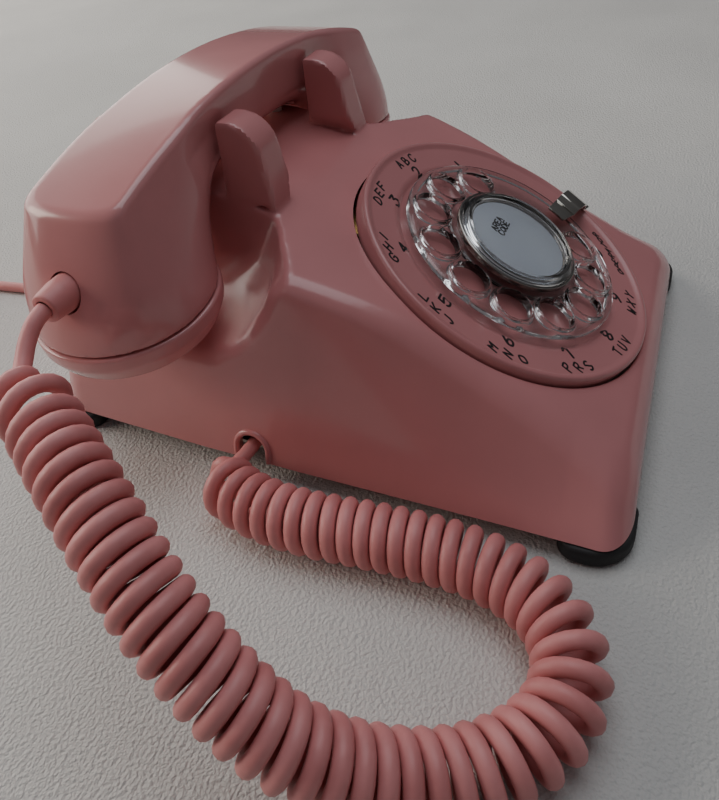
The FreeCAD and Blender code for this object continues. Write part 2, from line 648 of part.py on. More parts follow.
CURL_Z = 10.3
CURL_ROUTE = [
    (-98.0, 21.0, CURL_Z), (-104.0, 6.0, CURL_Z), (-105.0, -13.0, CURL_Z), (-102.5, -33.0, CURL_Z),
    (-101.0, -53.0, CURL_Z), (-101.5, -71.0, CURL_Z), (-107.5, -87.5, CURL_Z), (-119.5, -97.0, CURL_Z),
    (-134.0, -97.5, CURL_Z), (-147.5, -89.5, CURL_Z), (-158.0, -75.5, 11.0), (-165.5, -59.0, 16.5),
    (-169.5, -43.5, 26.0), (-168.0, -28.5, 38.0), (-163.5, -13.5, 49.0), (-156.0, 1.5, 58.5),
    (-147.5, 17.0, 66.0), (-138.5, 32.5, 69.5), (-128.0, 50.0, 71.5),
]
LEAD_ROUTE = [(-76.0, 16.5, 12.0), (-84.0, 16.9, 11.6), (-92.0, 19.0, 10.6)]
TAIL_ROUTE = [(-108.0, 56.0, 79.8), (-112.2, 56.0, 79.2), (-117.8, 55.2, 76.0), (-123.0, 53.0, 73.0),
              (-128.0, 50.0, 71.5)]
LINE_ROUTE = [(-10.0, 107.9, 10.4), (-10.0, 119.0, 8.4), (-10.6, 134.0, 3.6), (-12.0, 156.0, 2.55),
              (-14.4, 180.0, 2.55), (-17.4, 204.0, 2.55), (-20.2, 226.0, 2.55), (-21.8, 247.0, 2.55),
              (-22.0, 266.0, 2.55)]
COIL_CENTRE = (-54.4, 268.0)
COIL_MEAN = 27.4
COIL_HALF = 7.5


def make_cords(base_top):
    diameter = number(cell("cord_diameter"))
    tube("handset_cord_curl", CURL_ROUTE, number(cell("curl_diameter")))
    tube("handset_cord_lead", LEAD_ROUTE, diameter)
    tube("handset_cord_tail", TAIL_ROUTE, diameter)
    tube("line_cord", LINE_ROUTE, diameter)
    inner, outer = COIL_MEAN - COIL_HALF, COIL_MEAN + COIL_HALF
    ring = [(inner, 0), (outer, 0), (outer, 2 * COIL_HALF), (inner, 2 * COIL_HALF)]
    node(turned(ring, placed(*COIL_CENTRE, 0)), "line_cord_coil")
    x, y = COIL_CENTRE
    strap = cut(block((x - outer - 1.2, x - inner + 1.2), (y - 3.0, y + 3.0), (0.0, 16.2)),
                block((x - outer, x - inner), (y - 4.0, y + 4.0), (-1.0, 15.0)))
    node(strap, "line_cord_tie")
    body = [(0, 0), (14.0, 0), (17.0, 3.0), (17.0, 16.0), (15.0, 18.0), (0, 18.0)]
    node(turned(body, placed(*COIL_CENTRE, 0)), "line_plug")
    pin_spots = ((-6.0, -6.0), (6.0, -6.0), (-6.0, 6.0), (7.5, 6.0))
    pins = [rod(1.9, 13.0, placed(x + dx, y + dy, 18.0)) for dx, dy in pin_spots]
    node(fused(*pins), "line_plug_pins")
    node(block((-79.0, -73.0), (12.0, 21.0), (base_top, 9.4)), "handset_cord_restraint")
    grommet = [(0, 0), (3.4, 0), (3.4, 8.0), (0, 8.0)]
    node(turned(grommet, placed(-10.0, 107.9, 10.4, (1, 0, 0), 90.0)), "line_cord_grommet")


# ---------------------------------------------------------------- the telephone
make_housing()
base_top = make_base()
make_number_plate()
make_dial_frame(base_top)
make_finger_stop()
make_dial_works()
make_dial_rotor()
make_gear_train()
make_network(base_top)
make_ringer(base_top)
make_volume_wheel(base_top)
make_hook_switch(base_top)
make_handset()
make_cords(base_top)
doc.recompute()

for obj in doc.Objects:
    if "Invalid" in obj.State or "Error" in obj.State:
        raise RuntimeError("%s (%s) failed: %s" % (obj.Name, obj.Label, obj.State))
for obj in nodes:
    if obj.Shape.isNull() or not obj.Shape.isValid() or obj.Shape.Volume < 1.0:
        raise RuntimeError("%s has no sound shape" % obj.Label)

os.makedirs("parts", exist_ok=True)
for obj in nodes:
    obj.Shape.exportStep("parts/%s.step" % obj.Label)
print("%d pieces written" % len(nodes))
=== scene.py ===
"""Looks for the rotary desk telephone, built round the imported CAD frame.

Shapes are written in millimetres and turned into metres when a mesh is made.
"""

import json
import math

import bmesh
import bpy
import numpy as np
import openvdb
from mathutils import Matrix, Vector


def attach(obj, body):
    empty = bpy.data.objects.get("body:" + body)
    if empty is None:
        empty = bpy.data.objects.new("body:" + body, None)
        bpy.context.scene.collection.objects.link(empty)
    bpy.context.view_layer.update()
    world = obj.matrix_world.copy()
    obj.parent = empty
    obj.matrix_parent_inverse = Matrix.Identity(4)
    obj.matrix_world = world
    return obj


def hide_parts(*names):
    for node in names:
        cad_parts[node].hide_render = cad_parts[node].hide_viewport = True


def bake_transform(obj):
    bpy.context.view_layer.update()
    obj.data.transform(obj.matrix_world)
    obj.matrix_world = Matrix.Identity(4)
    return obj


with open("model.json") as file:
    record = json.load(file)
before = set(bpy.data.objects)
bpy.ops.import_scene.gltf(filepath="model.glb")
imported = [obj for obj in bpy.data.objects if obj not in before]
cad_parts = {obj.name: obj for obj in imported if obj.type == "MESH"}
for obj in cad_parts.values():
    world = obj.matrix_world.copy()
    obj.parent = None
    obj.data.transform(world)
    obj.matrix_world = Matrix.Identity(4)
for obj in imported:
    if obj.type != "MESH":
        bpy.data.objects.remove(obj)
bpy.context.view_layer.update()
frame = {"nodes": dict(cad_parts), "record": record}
MM = 0.001

# ---------------------------------------------------------------- sizes that repeat the CAD
DIAL_Y, DIAL_Z, TILT = -51.2, 51.95, math.radians(29.6)
DIGIT_ONE, DIGIT_STEP, STOP_ANGLE = 45.0, 30.0, -17.5
DIAL_X = np.array([1.0, 0.0, 0.0])
DIAL_UP = np.array([0.0, math.cos(TILT), math.sin(TILT)])
DIAL_OUT = np.array([0.0, -math.sin(TILT), math.cos(TILT)])
DIAL_AT = np.array([0.0, DIAL_Y, DIAL_Z])
FACE_DROP = 2.0
CUP_X, HANDSET_Y, SEAM_Z, CUP_LEAN = 77.0, 56.0, 64.0, math.radians(5.5)
DECK_TOP, SHOULDER_TOP, SKIRT_BOTTOM = 86.0, 44.5, 7.0
BUSHING_X, BUSHING_Z = -107.7, 79.8
CORD = 4.9
CURL_Z = 10.3
LEAD_ROUTE = [(-76.0, 16.5, 12.0), (-84.0, 16.9, 11.6), (-92.0, 19.0, 10.6)]
CURL_ROUTE = [
    (-98.0, 21.0, CURL_Z), (-104.0, 6.0, CURL_Z), (-105.0, -13.0, CURL_Z), (-102.5, -33.0, CURL_Z),
    (-101.0, -53.0, CURL_Z), (-101.5, -71.0, CURL_Z), (-107.5, -87.5, CURL_Z), (-119.5, -97.0, CURL_Z),
    (-134.0, -97.5, CURL_Z), (-147.5, -89.5, CURL_Z), (-158.0, -75.5, 11.0), (-165.5, -59.0, 16.5),
    (-169.5, -43.5, 26.0), (-168.0, -28.5, 38.0), (-163.5, -13.5, 49.0), (-156.0, 1.5, 58.5),
    (-147.5, 17.0, 66.0), (-138.5, 32.5, 69.5), (-128.0, 50.0, 71.5),
]
TAIL_ROUTE = [(-123.0, 53.0, 73.0), (-117.8, 55.2, 76.0), (-112.2, 56.0, 79.2), (-108.0, 56.0, 79.8)]
LINE_ROUTE = [
    (-10.0, 107.9, 10.4), (-10.0, 119.0, 8.4), (-10.6, 134.0, 3.6), (-12.0, 156.0, 2.55),
    (-14.4, 180.0, 2.55), (-17.4, 204.0, 2.55), (-20.2, 226.0, 2.55), (-21.8, 247.0, 2.55),
    (-22.0, 266.0, 2.55),
]
COIL_CENTRE = (-54.4, 268.0)
COIL_MEAN, COIL_HALF = 27.4, 7.5


# ---------------------------------------------------------------- distance functions
def round_and(a, b, radius):
    """What is inside both, its edge rounded to a radius."""
    past_both = np.hypot(np.maximum(a + radius, 0), np.maximum(b + radius, 0))
    return np.minimum(-radius, np.maximum(a, b)) + past_both


def round_or(a, b, radius):
    """What is inside either, the corner between them filled to a radius."""
    return -round_and(-a, -b, radius)


def soft_and(a, b, reach):
    """What is inside both, eased together within a reach of the edge."""
    h = np.maximum(reach - np.abs(a - b), 0) / reach
    return np.maximum(a, b) + h * h * reach / 4


def soft_or(a, b, reach):
    """What is inside either, eased together within a reach of the corner."""
    return -soft_and(-a, -b, reach)


def line_side(u, v, start, end):
    """Signed distance to the line from start to end: positive to its left."""
    du, dv = end[0] - start[0], end[1] - start[1]
    return ((v - start[1]) * du - (u - start[0]) * dv) / math.hypot(du, dv)


# ---------------------------------------------------------------- meshes
def link(mesh, name):
    obj = bpy.data.objects.new(name, mesh)
    bpy.context.scene.collection.objects.link(obj)
    return obj


def from_function(name, form, low, high, step, sharp=40.0):
    """Meshes the surface where form is zero, then moves every vertex onto that surface."""
    axes = [np.arange(a - 2 * step, b + 3 * step, step) for a, b in zip(low, high)]
    field = np.empty([len(a) for a in axes], np.float32)
    grid_x, grid_y = np.meshgrid(axes[0], axes[1], indexing="ij")
    for k, z in enumerate(axes[2]):
        field[:, :, k] = form(grid_x, grid_y, np.full_like(grid_x, z))
    grid = openvdb.FloatGrid(background=3.0 * step)
    grid.copyFromArray(np.clip(field, -3.0 * step, 3.0 * step))
    points, quads = grid.convertToQuads(0.0)
    spot = points.astype(float) * step + np.array([a[0] for a in axes])
    nudge = 0.05 * step
    for _ in range(4):
        x, y, z = spot.T
        here = form(x, y, z)
        slope = np.stack([
            form(x + nudge, y, z) - form(x - nudge, y, z),
            form(x, y + nudge, z) - form(x, y - nudge, z),
            form(x, y, z + nudge) - form(x, y, z - nudge),
        ], 1) / (2 * nudge)
        steep = np.maximum((slope ** 2).sum(1), 0.2)
        move = -here[:, None] * slope / steep[:, None]
        size = np.linalg.norm(move, axis=1, keepdims=True)
        spot = spot + move * np.minimum(1.0, 0.5 * step / np.maximum(size, 1e-9))
    mesh = bpy.data.meshes.new(name)
    mesh.from_pydata((spot * MM).tolist(), [], quads[:, ::-1].tolist())
    mesh.update()
    return finish_mesh(mesh, name, sharp)


def finish_mesh(mesh, name, sharp=40.0):
    """Welds, turns the faces outwards, and shades smooth except over sharp edges."""
    work = bmesh.new()
    work.from_mesh(mesh)
    bmesh.ops.remove_doubles(work, verts=work.verts, dist=1e-6)
    bmesh.ops.dissolve_degenerate(work, edges=work.edges, dist=1e-7)
    bmesh.ops.recalc_face_normals(work, faces=work.faces)
    work.to_mesh(mesh)
    work.free()
    mesh.shade_smooth()
    mesh.set_sharp_from_angle(angle=math.radians(sharp))
    return link(mesh, name)


def dial_matrix(across=0.0, up=0.0, out=0.0, turn=0.0):
    """A frame on the dial in metres, its Z along the dial's axis."""
    basis = Matrix((DIAL_X, DIAL_UP, DIAL_OUT)).transposed().to_4x4()
    place = Matrix.Translation(Vector(DIAL_AT * MM)) @ basis
    shift = Matrix.Translation(Vector((across, up, out)) * MM)
    return place @ shift @ Matrix.Rotation(math.radians(turn), 4, "Z")


def cup_matrix(side):
    """A frame at the middle of a cup's seam, its Z up along the cup's axis."""
    spot = Vector((side * CUP_X, HANDSET_Y, SEAM_Z)) * MM
    return Matrix.Translation(spot) @ Matrix.Rotation(side * CUP_LEAN, 4, "Y")


def lathe(name, outline, place, sides=96, sharp=40.0):
    """A turned solid from (radius, height) pairs that run round its section."""
    mesh = bpy.data.meshes.new(name)
    work = bmesh.new()
    rings = []
    for radius, height in outline:
        if radius < 1e-6:
            rings.append([work.verts.new((0, 0, height * MM))])
            continue
        ring = []
        for k in range(sides):
            t = 2 * math.pi * k / sides
            spot = (radius * math.cos(t) * MM, radius * math.sin(t) * MM, height * MM)
            ring.append(work.verts.new(spot))
        rings.append(ring)
    closed = outline[0][0] > 1e-6 and outline[-1][0] > 1e-6
    pairs = list(zip(rings, rings[1:])) + ([(rings[-1], rings[0])] if closed else [])
    for low, high in pairs:
        for k in range(sides):
            n = (k + 1) % sides
            corners = [low[k % len(low)], low[n % len(low)], high[n % len(high)], high[k % len(high)]]
            distinct = list(dict.fromkeys(corners))
            if len(distinct) > 2:
                work.faces.new(distinct)
    bmesh.ops.transform(work, matrix=place, verts=work.verts)
    work.to_mesh(mesh)
    work.free()
    return finish_mesh(mesh, name, sharp)


def rounded(corners, radius, steps=5):
    """An outline with each corner rounded. A radius per corner may be given."""
    radii = radius if isinstance(radius, (list, tuple)) else [radius] * len(corners)
    out = []
    for k, corner in enumerate(corners):
        here = Vector(corner)
        before, after = Vector(corners[k - 1]) - here, Vector(corners[(k + 1) % len(corners)]) - here
        if radii[k] <= 0:
            out.append(tuple(here))
            continue
        half = before.angle(after) / 2
        reach = min(radii[k] / math.tan(half), 0.49 * before.length, 0.49 * after.length)
        start, end = here + before.normalized() * reach, here + after.normalized() * reach
        for s in range(steps + 1):
            t = s / steps
            out.append(tuple(start * (1 - t) ** 2 + here * (2 * t * (1 - t)) + end * t ** 2))
    return out


def carve(obj, cutter, sharp=40.0):
    """Cuts one mesh with another and removes the cutter."""
    modifier = obj.modifiers.new("carve", "BOOLEAN")
    modifier.operation = "DIFFERENCE"
    modifier.solver = "EXACT"
    modifier.object = cutter
    bpy.context.view_layer.update()
    done = bpy.data.meshes.new_from_object(obj.evaluated_get(bpy.context.evaluated_depsgraph_get()))
    obj.modifiers.clear()
    obj.data = done
    done.shade_smooth()
    done.set_sharp_from_angle(angle=math.radians(sharp))
    bpy.data.objects.remove(cutter)
    return obj


def joined(name, objects):
    """Several meshes as one piece."""
    work = bmesh.new()
    for obj in objects:
        work.from_mesh(obj.data)
    mesh = bpy.data.meshes.new(name)
    work.to_mesh(mesh)
    work.free()
    for obj in objects:
        bpy.data.objects.remove(obj)
    mesh.shade_smooth()
    mesh.set_sharp_from_angle(angle=math.radians(40.0))
    return link(mesh, name)


# ---------------------------------------------------------------- materials
def material(name, color, rough, metallic=0.0, **more):
    """A principled material, its colour and gloss varied by fine noise and its surface by a bump."""
    made = bpy.data.materials.new(name)
    made.use_nodes = True
    nodes, links = made.node_tree.nodes, made.node_tree.links
    shader = nodes["Principled BSDF"]
    shader.inputs["Metallic"].default_value = metallic
    where = nodes.new("ShaderNodeTexCoord")
    blotch = nodes.new("ShaderNodeTexNoise")
    blotch.inputs["Scale"].default_value = more.get("blotch_scale", 30.0)
    blotch.inputs["Detail"].default_value = 4.0
    links.new(where.outputs["Object"], blotch.inputs["Vector"])
    ramp = nodes.new("ShaderNodeValToRGB")
    spread = more.get("spread", 0.04)
    darker = more.get("dark", [c * (1 - spread) for c in color])
    ramp.color_ramp.elements[0].position, ramp.color_ramp.elements[1].position = 0.35, 0.65
    ramp.color_ramp.elements[0].color = (*darker, 1)
    ramp.color_ramp.elements[1].color = (*[min(1.0, c * (1 + spread)) for c in color], 1)
    links.new(blotch.outputs["Fac"], ramp.inputs["Fac"])
    links.new(ramp.outputs["Color"], shader.inputs["Base Color"])
    haze = nodes.new("ShaderNodeMapRange")
    haze.inputs["To Min"].default_value = rough * (1 - more.get("rough_spread", 0.2))
    haze.inputs["To Max"].default_value = rough * (1 + more.get("rough_spread", 0.2))
    links.new(blotch.outputs["Fac"], haze.inputs["Value"])
    links.new(haze.outputs["Result"], shader.inputs["Roughness"])
    grain = nodes.new("ShaderNodeTexNoise")
    grain.inputs["Scale"].default_value = more.get("grain_scale", 300.0)
    grain.inputs["Detail"].default_value = more.get("grain_detail", 2.0)
    links.new(where.outputs["Object"], grain.inputs["Vector"])
    bump = nodes.new("ShaderNodeBump")
    bump.inputs["Strength"].default_value = more.get("bump", 0.05)
    bump.inputs["Distance"].default_value = more.get("depth", 0.0003)
    links.new(grain.outputs["Fac"], bump.inputs["Height"])
    links.new(bump.outputs["Normal"], shader.inputs["Normal"])
    for socket in ("Transmission Weight", "IOR", "Coat Weight", "Coat Roughness"):
        if socket in more:
            shader.inputs[socket].default_value = more[socket]
    return made


def coat(weight, rough):
    return {"Coat Weight": weight, "Coat Roughness": rough}


rose_housing = material("rose_housing", (0.60, 0.235, 0.235), 0.24, grain_scale=170.0, bump=0.08,
                        depth=0.0004, spread=0.03, **coat(0.25, 0.1))
rose_handset = material("rose_handset", (0.61, 0.25, 0.25), 0.2, grain_scale=150.0, bump=0.06,
                        depth=0.0004, spread=0.03, **coat(0.35, 0.07))
rose_plate = material("rose_number_plate", (0.55, 0.215, 0.215), 0.3, grain_scale=260.0, bump=0.05,
                      spread=0.03, **coat(0.2, 0.15))
rose_cord = material("rose_cord", (0.70, 0.275, 0.27), 0.46, grain_scale=900.0, bump=0.12,
                     depth=0.0002, spread=0.07, blotch_scale=60.0, dark=(0.60, 0.21, 0.205))
acrylic = material("clear_acrylic", (0.97, 0.96, 0.95), 0.03, spread=0.01, grain_scale=120.0,
                   bump=0.03, rough_spread=0.6, **{"Transmission Weight": 1.0, "IOR": 1.49})
paper = material("paper_card", (0.80, 0.87, 1.0), 0.7, grain_scale=2200.0, bump=0.2, depth=0.0001,
                 spread=0.03)
METAL = 1.0
bright_chrome = material("bright_chrome", (0.72, 0.68, 0.62), 0.14, METAL, grain_scale=600.0,
                         bump=0.04, rough_spread=0.5)
dark_chrome = material("dark_chrome", (0.30, 0.28, 0.26), 0.2, METAL, grain_scale=600.0,
                       bump=0.04, rough_spread=0.5)
stop_chrome = material("stop_chrome", (0.42, 0.40, 0.36), 0.1, METAL, grain_scale=500.0,
                       bump=0.06, rough_spread=0.5)
steel = material("plated_steel", (0.55, 0.53, 0.48), 0.35, METAL, grain_scale=500.0, bump=0.1,
                 spread=0.1)
brass = material("brass_parts", (0.42, 0.29, 0.12), 0.45, METAL, grain_scale=500.0, bump=0.08,
                 spread=0.1)
rubber = material("black_rubber", (0.018, 0.017, 0.017), 0.62, grain_scale=1200.0, bump=0.3,
                  spread=0.2)
bakelite = material("bakelite", (0.03, 0.022, 0.02), 0.3, grain_scale=400.0, bump=0.1, spread=0.2)
coil_wire = material("coil_wire", (0.28, 0.10, 0.04), 0.35, 0.6, grain_scale=1500.0, bump=0.6,
                     spread=0.2)
nylon = material("white_nylon", (0.75, 0.73, 0.68), 0.45, grain_scale=700.0, bump=0.1, spread=0.03)
ink = material("black_ink", (0.012, 0.011, 0.011), 0.38, grain_scale=900.0, bump=0.1, spread=0.2)
tie_black = material("black_tie", (0.02, 0.02, 0.02), 0.5, grain_scale=900.0, bump=0.3, spread=0.2)

BY_SLOT = {
    "rose_housing": rose_housing, "rose_handset": rose_handset, "rose_number_plate": rose_plate,
    "rose_cord": rose_cord, "clear_acrylic": acrylic, "paper": paper, "dark_chrome": dark_chrome,
    "bright_chrome": bright_chrome, "steel": steel, "brass_parts": brass, "black_rubber": rubber,
    "bakelite": bakelite, "coil_wire": coil_wire, "white_nylon": nylon,
}
for row in frame["record"]["subparts"]:
    data = frame["nodes"][row["node"]].data
    data.materials.clear()
    data.materials.append(BY_SLOT[row["material_slot"]])


def piece(obj, look, body, slot, *stands_for):
    """Gives a piece its material and its body, and hides the CAD nodes that it stands for. The slot
    argument is not used.
    """
    obj.data.materials.clear()
    obj.data.materials.append(look)
    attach(obj, body)
    if stands_for:
        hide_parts(*stands_for)
    return obj


# ---------------------------------------------------------------- housing
# Half widths along y: of the crease round the dial face, and of the wall's foot.
CREASE = [(-112, 69.0), (-99, 66.8), (-86, 63.6), (-74, 62.8), (-58, 62.4), (-50, 62.8), (-34, 64.2),
          (-16, 66.4), (-2, 68.0), (30, 69.0)]
BOTTOM = [(-110, 83.0), (-93, 83.0), (-44, 83.6), (-2, 84.2), (38, 84.0), (95, 82.4), (110, 81.5)]
PLINTH = 8.0
WALL = 3.0


def face_distance(y, z):
    """Height over the plane of the dial face, square to it."""
    return (y - DIAL_Y) * DIAL_OUT[1] + (z - DIAL_Z) * DIAL_OUT[2] + FACE_DROP


def face_height(y):
    return DIAL_Z - FACE_DROP / DIAL_OUT[2] + (y - DIAL_Y) * math.tan(TILT)


def side_distance(x, y, z):
    """Distance outside the twisted side wall, which leans more towards the front."""
    top = np.interp(y, *zip(*CREASE))
    foot = np.interp(y, *zip(*BOTTOM))
    rise = np.maximum(face_height(np.minimum(y, 0.0)) - PLINTH, 9.0)
    lean = (foot - top) / rise
    return (x - foot + lean * (z - PLINTH)) / np.sqrt(1 + lean ** 2)


# The bowl's radius at each height.
BOWL = [(44.5, 32.0), (48.0, 35.5), (52.0, 38.6), (56.0, 41.6), (61.5, 45.6), (69.0, 48.8),
        (74.5, 51.2), (80.0, 53.6), (86.0, 55.4)]
BOWL_SLOPE = 1.15
BOWL_FLARE = 6.0
HORN_TOP, HORN_OUTER, HORN_INNER = 108.0, 38.2, 25.2
COLUMN_LEAN, COLUMN_FROM = 0.07, 96.0


def scoop_distance(x, y, z):
    """Distance into the bowl that clears a cup of the handset; its rim flares towards the side."""
    high = np.maximum(z - 62.0, 0)
    reach = np.hypot(x - CUP_X - 0.12 * high, y - HANDSET_Y + 0.06 * high)
    flare = np.clip((x - 50.0) / 17.0, 0, 1) * np.clip((z - 66.0) / 11.0, 0, 1)
    wide = np.interp(z, *zip(*BOWL)) + BOWL_FLARE * flare * flare * (3 - 2 * flare)
    return (wide - reach) / BOWL_SLOPE


def horn_form(x, y, z):
    """A front cradle horn and, past the handset's middle plane, the rear one."""
    v = HANDSET_Y - np.abs(y - HANDSET_Y)
    front_edge = line_side(v, z, (17.6, 76.0), (20.9, 95.0))
    outline = round_and(front_edge, z - HORN_TOP, 9.5)
    outline = round_and(outline, v - 37.0 - 0.012 * (HORN_TOP - z), 1.6)
    outside = x - HORN_OUTER - COLUMN_LEAN * np.maximum(COLUMN_FROM - z, 0)
    inside = HORN_INNER - x + 0.5 * np.maximum(DECK_TOP - z, 0)
    horn = round_and(outline, np.maximum(outside, inside), 0.9)
    return np.maximum(horn, scoop_distance(x, y, z) - 5.0 * np.maximum(z - 79.5, 0))


def housing_form(x, y, z):
    """The whole housing as a solid: body and deck first, then the walls, then the horns."""
    x = np.abs(x)
    front_wall = -106.5 + 0.10 * (z - PLINTH) - y
    rear_wall = y - 106.5 + 0.16 * (z - PLINTH)
    walls = round_and(side_distance(x, y, z), front_wall, 9.0)
    walls = round_and(walls, rear_wall, 14.0)
    forward = round_and(y - 46.0, scoop_distance(x, y, z), 2.0)
    column_side = x - HORN_OUTER - COLUMN_LEAN * (COLUMN_FROM - z)
    column = round_and(column_side, y - 95.5 - 0.10 * (DECK_TOP - z), 8.0)
    upper = round_or(forward, column, 2.5)
    upper = round_and(upper, round_and(face_distance(y, z), z - DECK_TOP, 30.0), 1.8)
    shoulder = np.maximum(z - SHOULDER_TOP, 6.0 - y)
    body = round_and(round_or(upper, shoulder, 7.0), walls, 5.5)
    return soft_or(body, horn_form(x, y, z), 1.2)


def housing_shell(x, y, z):
    outer = housing_form(x, y, z)
    return np.maximum(outer, -(outer + WALL))


def block_cut(low, high, rounding=0.0):
    """A box to cut with, its edges rounded if asked."""
    work = bmesh.new()
    bmesh.ops.create_cube(work, size=1.0)
    size = [b - a for a, b in zip(low, high)]
    middle = [(a + b) / 2 for a, b in zip(low, high)]
    place = Matrix.Translation(Vector(middle) * MM) @ Matrix.Diagonal((*[c * MM for c in size], 1))
    bmesh.ops.transform(work, matrix=place, verts=work.verts)
    if rounding:
        bmesh.ops.bevel(work, geom=list(work.edges), offset=rounding * MM, segments=5,
                        affect="EDGES", profile=0.5)
    mesh = bpy.data.meshes.new("block_cut")
    work.to_mesh(mesh)
    work.free()
    return link(mesh, "block_cut")


def arch_cut(middle, half, spring, along, reach):
    """A notch with a round top, cut through a wall: along is the wall's axis, reach its two ends."""
    outline = [(middle + half, 0.0)]
    for t in np.linspace(0, math.pi, 25):
        outline.append((middle + half * math.cos(t), spring + half * math.sin(t)))
    outline.append((middle - half, 0.0))
    work = bmesh.new()
    ends = []
    for depth in reach:
        spots = [(depth, u, v) if along == 0 else (u, depth, v) for u, v in outline]
        ends.append([work.verts.new(Vector(spot) * MM) for spot in spots])
    work.faces.new(ends[0])
    work.faces.new(ends[1][::-1])
    for k in range(len(outline)):
        n = (k + 1) % len(outline)
        work.faces.new((ends[0][k], ends[1][k], ends[1][n], ends[0][n]))
    bmesh.ops.recalc_face_normals(work, faces=work.faces)
    mesh = bpy.data.meshes.new("arch_cut")
    work.to_mesh(mesh)
    work.free()
    return link(mesh, "arch_cut")


HOUSING_SHARP = 50.0
NOTCH_Y, NOTCH_HALF, NOTCH_SPRING = 16.5, 5.5, 11.5
OPENING, OPENING_LIP = 57.8, 1.0


def opening_outline():
    """The section of the cut for the dial, its lip rounded."""
    outline = [(0, -16), (OPENING, -16), (OPENING, -3.0)]
    for t in np.linspace(0.2, math.pi / 2, 6):
        outline.append((OPENING + OPENING_LIP - math.cos(t), -3.0 + math.sin(t)))
    return outline + [(OPENING + OPENING_LIP, 12), (0, 12)]


def housing_cuts():
    """What is cut from the shell, in turn: skirt, two cord notches, dial, plungers, rear grip."""
    yield block_cut((-100, -120, -10), (100, 120, SKIRT_BOTTOM))
    yield arch_cut(NOTCH_Y, NOTCH_HALF, NOTCH_SPRING, 0, (-95.0, -70.0))
    yield arch_cut(-10.0, 3.6, 10.4, 1, (95.0, 112.0))
    yield lathe("opening_cut", opening_outline(), dial_matrix(), 180)
    plunger_hole = [(0, -8), (3.4, -8), (3.4, 5.0), (4.4, 6.02), (4.4, 12), (0, 12)]
    for hand in (-1, 1):
        spot = Matrix.Translation(Vector((hand * 32.0, HANDSET_Y, 80.0)) * MM)
        yield lathe("plunger_cut", plunger_hole, spot, 40)
    yield block_cut((-30.0, 84.5, 54.0), (30.0, 118.5, 72.0), 4.0)


housing = from_function("housing_shell", housing_shell, (-85, -107, 4), (85, 107, 109), 1.4,
                        sharp=HOUSING_SHARP)
for cutter in housing_cuts():
    carve(housing, cutter, sharp=HOUSING_SHARP)
piece(housing, rose_housing, "root", "rose_housing", "housing")


# ---------------------------------------------------------------- handset
TOP_ARC, TOP_CENTRE = 269.6, -153.0
BELLY_ARC, BELLY_CENTRE = 228.3, -137.3
CUP_RADIUS, CUP_RISE = 30.0, 36.0
FLANK_DEPTH = 36.0
HANDSET_SHARP = 45.0


def cup_form(x, y, z):
    """One cup: round at the seam, squared where it runs into the handle's end."""
    u = (x - CUP_X) * math.cos(CUP_LEAN) - (z - SEAM_Z) * math.sin(CUP_LEAN)
    h = (x - CUP_X) * math.sin(CUP_LEAN) + (z - SEAM_Z) * math.cos(CUP_LEAN)
    v = np.abs(y - HANDSET_Y)
    s = np.clip(h / CUP_RISE, 0, 1.3)
    ease = np.clip(s, 0, 1)
    across = CUP_RADIUS - 13.0 * ease * ease * (3 - 2 * ease) - 2.0 * ease * (1 - ease)
    outward = CUP_RADIUS - 20.4 * np.clip(s, 0, 1.3) + 5.0 * ease * (1 - ease)
    inward = CUP_RADIUS - 12.0 * ease ** 1.5 + 7.0 * ease * (1 - ease)
    along = np.where(u > 0, outward, inward)
    power = 2.0 + 3.0 * ease ** 1.5
    size = ((np.abs(u) / along + 1e-6) ** power + (v / across + 1e-6) ** power) ** (1 / power)
    body = (size - 1) * across * 0.92
    return np.maximum(body, h - CUP_RISE - 6.0), h


def handset_form(x, y, z):
    """The handle between its two arcs, its ends flowing down into the cups."""
    x = np.abs(x)
    v = np.abs(y - HANDSET_Y)
    top = np.hypot(x, z - TOP_CENTRE) - TOP_ARC
    belly = BELLY_ARC - np.hypot(x, z - BELLY_CENTRE)
    flank = v - 17.7 - 0.10 * np.minimum(top, 0)
    bar = round_and(flank, belly, 9.0)
    bar = round_and(bar, x - 84.0, 5.0)
    cup, h = cup_form(x, y, z)
    form = soft_or(bar, cup, 24.0)
    depth = np.clip(-top, 0, FLANK_DEPTH) / FLANK_DEPTH
    form = soft_and(form, (v - 17.9 - 13.5 * depth ** 1.15) / 1.08, 3.0)
    facet = -line_side(x + v * v / 95.0, z, (108.6, 63.6), (91.6, 100.4))
    form = soft_and(form, facet, 3.5)
    form = round_and(form, top, 1.9)
    return round_and(form, 0.35 - h, 0.8)


handset = from_function("handset_handle_shell", handset_form, (-109, 24, 60), (109, 88, 118), 1.05,
                        sharp=HANDSET_SHARP)
hole_place = Matrix.Translation(Vector((BUSHING_X, HANDSET_Y, BUSHING_Z)) * MM)
hole_place = hole_place @ Matrix.Rotation(math.radians(90), 4, "Y")
cord_hole = lathe("cord_hole", [(0, -6), (6.0, -6), (6.0, 16), (0, 16)], hole_place, 48)
carve(handset, cord_hole, sharp=HANDSET_SHARP)
piece(handset, rose_handset, "handset", "rose_handset", "handset_handle")

cap_outline = rounded(
    [(0, -13.0), (20.0, -13.0), (27.5, -11.6), (30.6, -5.0), (30.7, -0.15), (26.6, -0.15),
     (26.6, -4.0), (22.0, -9.6), (0, -10.2)],
    [0, 6, 5, 5, 1.3, 0.3, 1.0, 3.0, 0], 6)
